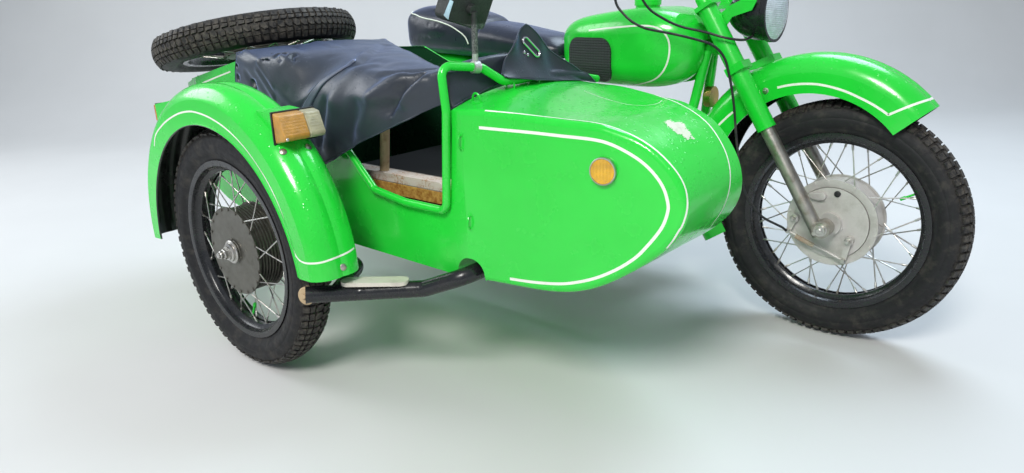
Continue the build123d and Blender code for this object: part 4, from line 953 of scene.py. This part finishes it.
# Cover: rows run from the far edge over the near fold and down the side, from the trunk lid
# forward to the cowl's rim behind the grab hoop
COVER_NET = [
    [(-40, -441, 842), (-44, -530, 847), (-46, -640, 850), (-46, -760, 851), (-40, -870, 851), (22, -938, 854),
     (44, -957, 840), (28, -959, 795), (12, -958, 735)],
    [(34, -438, 855), (32, -530, 861), (32, -640, 863), (32, -760, 862), (40, -870, 861), (84, -938, 857),
     (106, -968, 836), (100, -968, 786), (94, -966, 722)],
    [(106, -442, 861), (104, -530, 865), (104, -640, 870), (104, -745, 866), (108, -850, 862), (146, -935, 856),
     (172, -972, 834), (168, -972, 780), (160, -970, 708)],
    [(180, -488, 858), (184, -560, 864), (188, -650, 868), (190, -750, 866), (198, -850, 861), (224, -945, 854),
     (228, -976, 830), (230, -976, 772), (226, -972, 700)],
    [(262, -536, 853), (266, -600, 860), (270, -680, 864), (274, -765, 862), (280, -860, 860), (292, -953, 853),
     (262, -980, 806), (258, -978, 750), (254, -974, 690)],
    [(340, -584, 849), (346, -640, 855), (352, -705, 858), (356, -775, 856), (352, -862, 850), (346, -955, 826),
     (304, -981, 768), (300, -980, 722), (298, -976, 675)],
    [(412, -626, 845), (418, -675, 850), (424, -730, 851), (430, -790, 846), (426, -864, 836), (412, -956, 778),
     (370, -982, 736), (364, -980, 692), (358, -977, 650)],
    [(484, -668, 842), (492, -712, 846), (500, -762, 848), (510, -815, 842), (518, -868, 832), (522, -938, 815),
     (462, -976, 775), (396, -982, 712), (400, -982, 640)],
    [(556, -711, 839), (562, -752, 842), (566, -796, 842), (566, -840, 838), (562, -885, 828), (556, -940, 815),
     (520, -984, 772), (466, -990, 690), (452, -984, 572)],
    [(636, -758, 834), (640, -792, 836), (642, -826, 835), (642, -862, 831), (640, -902, 824), (640, -946, 815),
     (618, -990, 765), (582, -992, 690), (556, -982, 610)],
    [(718, -806, 830), (720, -832, 831), (720, -858, 830), (720, -884, 827), (720, -914, 823), (720, -946, 815),
     (704, -986, 772), (684, -986, 716), (656, -980, 656)],
    [(790, -848, 828), (794, -866, 829), (796, -884, 828), (798, -902, 825), (800, -922, 820), (802, -946, 810),
     (784, -972, 778), (764, -970, 746), (738, -972, 690)],
    [(848, -866, 831), (850, -880, 831), (851, -894, 830), (852, -910, 827), (853, -926, 823), (852, -946, 815),
     (846, -964, 790), (832, -968, 760), (812, -972, 716)],
    [(936, -752, 852), (928, -795, 849), (918, -838, 843), (910, -875, 835), (906, -908, 830), (903, -934, 824),
     (900, -941, 805), (896, -942, 780), (892, -943, 752)],
    [(944, -747, 824), (934, -790, 818), (926, -832, 812), (922, -868, 805), (919, -900, 800), (917, -924, 797),
     (914, -935, 786), (910, -939, 768), (904, -941, 748)],
    [(940, -744, 790), (936, -790, 783), (934, -830, 775), (933, -868, 767), (932, -900, 760), (930, -924, 753),
     (928, -935, 750), (922, -939, 749), (914, -941, 744)],
]
solids = [surface(n) for n in ("cockpit_rail", "seat_pan", "seat_post", "marker_housings", "sidecar_fender",
                               "sidecar_body", "trunk_lid", "dual_seat", "side_boxes", "main_frame")]
COVER_ACROSS, COVER_ALONG, SOLID_GAP = 86, 106, 0.003
cover_rows = net_points(COVER_NET, COVER_ACROSS, COVER_ALONG)
SKY, OUT = (0, -0.3, 0.95), (0, -1, 0.15)
# Folds: from, to, reach and height in metres, and the way that the cloth is pushed
FOLDS = [
    # deep crease behind the hoop with the round ridge on its front side
    ((829, -942, 812), (784, -972, 780), 0.024, -0.017, (-0.2, -0.9, 0.3)),
    ((784, -972, 780), (744, -978, 735), 0.024, -0.016, (-0.2, -1, 0.1)),
    ((850, -950, 808), (796, -975, 752), 0.022, 0.010, (0.3, -0.9, 0.3)),
    ((770, -946, 815), (700, -985, 760), 0.032, 0.012, (0, -0.9, 0.4)),
    ((836, -900, 828), (700, -950, 818), 0.018, -0.006, SKY),
    # soft folds of the loose front part
    ((600, -900, 826), (560, -985, 740), 0.040, 0.010, (0, -0.8, 0.6)),
    ((560, -985, 740), (500, -990, 620), 0.035, 0.010, OUT),
    ((640, -985, 740), (590, -985, 650), 0.030, -0.010, OUT),
    ((520, -985, 740), (470, -990, 640), 0.022, -0.008, OUT),
    ((690, -985, 730), (640, -985, 670), 0.024, 0.006, OUT),
    # tight rear part: pulls from its corner and across its top
    ((60, -935, 856), (196, -970, 830), 0.016, 0.006, SKY),
    ((196, -970, 830), (262, -972, 770), 0.018, 0.006, (-0.3, -0.8, 0.4)),
    ((120, -800, 866), (330, -900, 830), 0.030, -0.007, SKY),
    ((90, -700, 868), (300, -780, 862), 0.026, 0.004, SKY),
    ((300, -600, 856), (470, -760, 848), 0.030, -0.005, SKY),
    ((430, -760, 846), (540, -900, 828), 0.026, 0.009, SKY),
    ((380, -860, 826), (330, -960, 762), 0.026, -0.008, (0.2, -0.7, 0.6)),
    ((110, -966, 800), (180, -970, 730), 0.018, -0.004, OUT),
    ((180, -972, 810), (250, -974, 740), 0.016, 0.004, OUT),
]
for row in cover_rows:
    for i, p in enumerate(row):
        for fold in FOLDS:
            p = bend(p, *fold)
        x = p.x * 1000 - REAR_AXLE_X
        loose = min(max((x - 380) / 120, 0.25), 1.0)
        soft = noise.noise(Vector((p.x * 8, p.y * 13, p.z * 9))) * 0.0045 * loose
        fine = noise.noise(Vector((p.x * 30 + 7, p.y * 22, p.z * 26))) * 0.0013
        row[i] = clear_of(p + Vector((0, -0.5, 0.8)) * (soft + fine), solids)
cover = sheet_piece("cover_sheet", cover_rows, COVER, ["tonneau_cover"], CLOTH_THICKNESS)


def lifted_strip(rows, first, last, column_from, height):
    """Copy of a part of a cloth grid, a little above it."""
    strip = []
    for i in range(first, last + 1):
        made = []
        for j in range(column_from, len(rows[0])):
            p = rows[i][j]
            ahead = rows[min(i + 1, len(rows) - 1)][j] - rows[max(i - 1, 0)][j]
            across = rows[i][min(j + 1, len(rows[0]) - 1)] - rows[i][max(j - 1, 0)]
            facing = ahead.cross(across).normalized()
            if facing.y > 0:
                facing = -facing
            made.append(p + facing * (height * (1.0 - 0.5 * (i - first) / (last - first))))
        strip.append(made)
    return strip


# The loose part's own hem, a doubled band that lies over the tight rear part, drawn in the lighter cloth: painted
# sheen
BAND_FIRST, BAND_LAST, BAND_COLUMN, BAND_LIFT = 49, 53, 46, 0.0042
band_rows = lifted_strip(cover_rows, BAND_FIRST, BAND_LAST, BAND_COLUMN, BAND_LIFT)
hem_band = sheet_piece("cover_band", band_rows, COVER_PAINTED_SHEEN, (), 0.0024)
hem = bmesh.new()
for row in (cover_rows[0], cover_rows[-1]):
    tube_along(hem, row, 0.0020, 8)
for column in (0, -1):
    tube_along(hem, [row[column] for row in cover_rows], 0.0020, 8)
tube_along(hem, band_rows[0], 0.0019, 8)
cover_hem = mesh_piece("cover_hem", hem, COVER, "chassis")

# The cover's front corner, stood up over the rail
FLAP_TOP = [(963, -804, 806), (955, -778, 838), (949, -745, 874), (946, -712, 899), (944, -684, 917),
            (947, -652, 888), (950, -608, 856), (953, -559, 823), (957, -481, 784), (962, -428, 757)]
FLAP_LOW = [(966, -803, 801), (974, -778, 799), (976, -748, 795), (977, -712, 789), (977, -682, 785),
            (976, -642, 780), (975, -602, 775), (972, -552, 769), (968, -482, 760), (966, -426, 752)]
FLAP_ACROSS, FLAP_UP = 60, 25
low = resampled([at(*p) for p in FLAP_LOW], FLAP_ACROSS)
top = [at(*FLAP_TOP[k]).lerp(at(*FLAP_TOP[k + 1]), t) for k, t in even_steps(FLAP_TOP, FLAP_ACROSS)]
grid = []
for k in range(FLAP_UP + 1):
    t = k / FLAP_UP
    row = []
    for i, (a, b) in enumerate(zip(low, top)):
        p = a.lerp(b, t)
        hollow = sin(pi * t) * (b - a).length * 0.09 + 0.006 * t * sin(i * 0.35) * min((b - a).length / 0.06, 1)
        p += Vector((-hollow + noise.noise(Vector((p.x * 20, p.y * 16, p.z * 12))) * 0.004, 0, 0))
        row.append(clear_of(p, [solids[0], solids[5]]))
    grid.append(row)
flap = sheet_piece("cover_flap", grid, COVER, (), CLOTH_THICKNESS)
hem = bmesh.new()
tube_along(hem, grid[-1], 0.0022, 8)
tube_along(hem, grid[0], 0.0016, 8)
flap_skin = surface("cover_flap")
eye = bmesh.new()
one, facing = seen(flap_skin, 525.0, 41.0)
two, facing = seen(flap_skin, 536.0, 53.0)
along = (two - one).normalized()
over = facing.cross(along).normalized()
loop = []
for i in range(40):
    a = 2 * pi * i / 40
    end = two if cos(a) > 0 else one
    loop.append(end + facing * 0.003 + (along * cos(a) + over * sin(a)) * 0.0085)
loop.append(loop[0])
tube_along(eye, loop, 0.0030, 8, False)
for u, v in ((524, 52.5), (527.5, 55)):
    place, normal = seen(flap_skin, u, v)
    if place is not None:
        disc(eye, place, normal, 0.0042, 0.003, 16, 0.001)
flap_eye = mesh_piece("flap_eye", eye, CHROME, "chassis")
flap_hem = mesh_piece("flap_hem", hem, COVER, "chassis")

# Saddle for two: foam under vinyl, crowned, its pillion place higher behind a crease
SEAT_STATIONS = [
    (-178, 50, 845, 890), (-172, 84, 808, 928), (-154, 110, 791, 948), (-122, 126, 787, 958), (-60, 132, 785, 960),
    (0, 133, 783, 956), (60, 133, 781, 949), (106, 133, 779, 941), (150, 132, 778, 930), (184, 131, 777, 919),
    (206, 130, 776, 906), (222, 129, 776, 897), (240, 130, 776, 897), (300, 131, 775, 890), (350, 131, 774, 881),
    (400, 130, 773, 872), (450, 127, 772, 863), (500, 121, 771, 855), (545, 110, 771, 846), (575, 92, 776, 832),
    (588, 72, 786, 816),
]
SEAT_SIDES, SEAT_RINGS, SWELL_FRAMES, MOST_SWELL = 48, 80, 20, 0.005


def seat_mesh(shrink):
    """The seat's solid shape, a little smaller all round, before it swells."""
    bm = bmesh.new()
    rings = []
    stations = resampled([Vector((x, w, lo)) for x, w, lo, hi in SEAT_STATIONS], SEAT_RINGS)
    tops = resampled([Vector((x, w, hi)) for x, w, lo, hi in SEAT_STATIONS], SEAT_RINGS)
    for s, t in zip(stations, tops):
        mid, half = (t.z + s.z) / 2, (t.z - s.z) / 2 - shrink
        shoulder = 0.50 + 0.26 * min(max((s.x - 190) / 60, 0), 1)  # squarer behind the crease
        ring = []
        for j in range(SEAT_SIDES):
            a = 2 * pi * j / SEAT_SIDES
            c, d = cos(a), sin(a)
            y = (abs(c) ** 0.5) * (1 if c > 0 else -1) * (s.y - shrink)
            z = (abs(d) ** (shoulder if d > 0 else 0.45)) * (1 if d > 0 else -1) * half
            crown = 0.012 * (1 - (y / 132) ** 2) * 1000 - 12 if d > 0 else 0
            ring.append(bm.verts.new(at(s.x, y, mid + z + crown * max(d, 0))))
        rings.append(ring)
    for one, two in zip(rings, rings[1:]):
        skin(bm, one, two)
    bm.faces.new(rings[0])
    bm.faces.new(rings[-1])
    return mesh_of(bm, "saddle_pad")


def applied(obj):
    """The object's mesh replaced by the result of its modifiers."""
    bpy.context.view_layer.update()
    graph = bpy.context.evaluated_depsgraph_get()
    made = bpy.data.meshes.new_from_object(obj.evaluated_get(graph))
    obj.modifiers.clear()
    obj.data = made


seat = shown("saddle_pad", seat_mesh(3.0), SEAT, "chassis", ["dual_seat"], 180)
remesh = seat.modifiers.new("remesh", "REMESH")
remesh.mode = "VOXEL"
remesh.voxel_size = 0.0055
remesh.use_smooth_shade = True
applied(seat)
start = [v.co.copy() for v in seat.data.vertices]
cloth = seat.modifiers.new("swell", "CLOTH")
cloth.settings.use_pressure = True
cloth.settings.uniform_pressure_force = 4.0
cloth.settings.effector_weights.gravity = 0.0
cloth.settings.quality = 5
for step in range(1, SWELL_FRAMES + 1):
    scene.frame_set(step)
applied(seat)
scene.frame_set(1)
for v, before in zip(seat.data.vertices, start):
    moved = v.co - before
    if moved.length > MOST_SWELL:
        v.co = before + moved * (MOST_SWELL / moved.length)
CREASE = [(-126, 232), (-60, 223), (0, 218), (60, 215), (126, 222)]


def crease_x(y):
    """Place of the crease along the seat at a distance from its middle."""
    for (y0, x0), (y1, x1) in zip(CREASE, CREASE[1:]):
        if y <= y1:
            return x0 + (x1 - x0) * (y - y0) / (y1 - y0)
    return CREASE[-1][1]


for v in seat.data.vertices:
    x, y = v.co.x * 1000 - REAR_AXLE_X, v.co.y * 1000 - BIKE_Y
    if v.co.z > 0.845:
        v.co.z -= 0.009 * max(0.0, 1 - abs(x - crease_x(y)) / 13) ** 1.5
fine = seat.modifiers.new("fine", "SUBSURF")
fine.levels = fine.render_levels = 1
seat_skin = surface("saddle_pad")

# Piping round the pillion's top, which runs down the sides in front, and the seam in the crease
side_pipe = seen_path(seat_skin, [(418.6, 16.4), (425.7, 18.6), (433, 20), (442, 22.5), (451.4, 26.4), (457, 30),
                                  (462, 33.6), (466, 38), (468.5, 44)], 5)
piping = bmesh.new()
near_pipe = [p + n * 0.0012 for p, n in side_pipe]
far_pipe = [p + n * 0.0012 for p, n in other_side(side_pipe)]
rear_turn = []
for i in range(41):
    a = pi * (-0.5 + i / 40)
    start_at = at(-90 - 170 * cos(a) ** 0.6, 210 * sin(a), 996)
    inwards = (at(-50, 40 * sin(a), 880) - start_at).normalized()
    place, normal, face, distance = seat_skin.ray_cast(start_at, inwards)
    if place is not None:
        rear_turn.append(place + normal * 0.0012)
whole = list(reversed(near_pipe)) + [p for p in rear_turn if p.x < near_pipe[0].x - 0.004] + far_pipe
tube_along(piping, smooth_path(whole[::3] + [whole[-1]], 4), 0.0023, 8)
mesh_piece("saddle_piping", piping, STRIPE, "chassis")
seam = bmesh.new()
row = []
for i in range(41):
    y = -124 + 248 * i / 40
    place, normal, face, distance = seat_skin.ray_cast(at(crease_x(y), y, 990), Vector((0, 0, -1)))
    if place is not None:
        row.append(place + Vector((0, 0, 0.0004)))
tube_along(seam, row, 0.0018, 8)
mesh_piece("saddle_seam", seam, RUBBER, "chassis")


# Floor, backdrop and light

def stage():
    """Floor that curves up into a backdrop, square to the camera."""
    bm = bmesh.new()
    half_width, front, back, bend_r, top = 9.0, -7.0, 3.6, 1.6, 6.5
    profile = [(front, 0.0), (back, 0.0)]
    for i in range(1, 9):
        a = pi / 2 * i / 8
        profile.append((back + bend_r * sin(a), bend_r * (1 - cos(a))))
    profile.append((back + bend_r, top))
    spin = Matrix.Rotation(CAMERA_YAW, 3, "Z")
    rows = []
    for x in (-half_width, half_width):
        rows.append([bm.verts.new(spin @ Vector((x, y, z - 0.0005))) for y, z in profile])
    for j in range(len(profile) - 1):
        bm.faces.new((rows[0][j], rows[1][j], rows[1][j + 1], rows[0][j + 1]))
    mesh = mesh_of(bm, "stage", False)
    mesh.shade_smooth()
    k = Look("stage", (0.62, 0.62, 0.61), 0.8)
    k.feed(Base_Color=k.blend(k.noise(1.5, 3), (0.60, 0.60, 0.59), (0.66, 0.66, 0.65)))
    mesh.materials.append(k.mat)
    obj = bpy.data.objects.new("stage", mesh)
    scene.collection.objects.link(obj)


stage()

world = bpy.data.worlds.new("world")
world.use_nodes = True
scene.world = world
background = world.node_tree.nodes["Background"]
background.inputs["Color"].default_value = (0.80, 0.88, 1.0, 1)
background.inputs["Strength"].default_value = 0.50


def lamp(name, place, aim, energy, size, color):
    """Round area light that looks at a place."""
    data = bpy.data.lights.new(name, "AREA")
    data.energy = energy
    data.color = color
    data.shape = "DISK"
    data.size = size
    obj = bpy.data.objects.new(name, data)
    obj.location = place
    obj.rotation_euler = (Vector(aim) - Vector(place)).to_track_quat("-Z", "Y").to_euler()
    scene.collection.objects.link(obj)


lamp("key", (2.0, -4.2, 4.4), (0, 0, 0.4), 270, 1.8, (1.0, 0.98, 0.94))
lamp("fill", (-4.5, -2.0, 3.2), (0, 0, 0.4), 110, 3.0, (0.94, 0.97, 1.0))
lamp("top", (0.5, 2.6, 4.6), (0, 0, 0.5), 190, 3.0, (0.72, 0.86, 1.0))
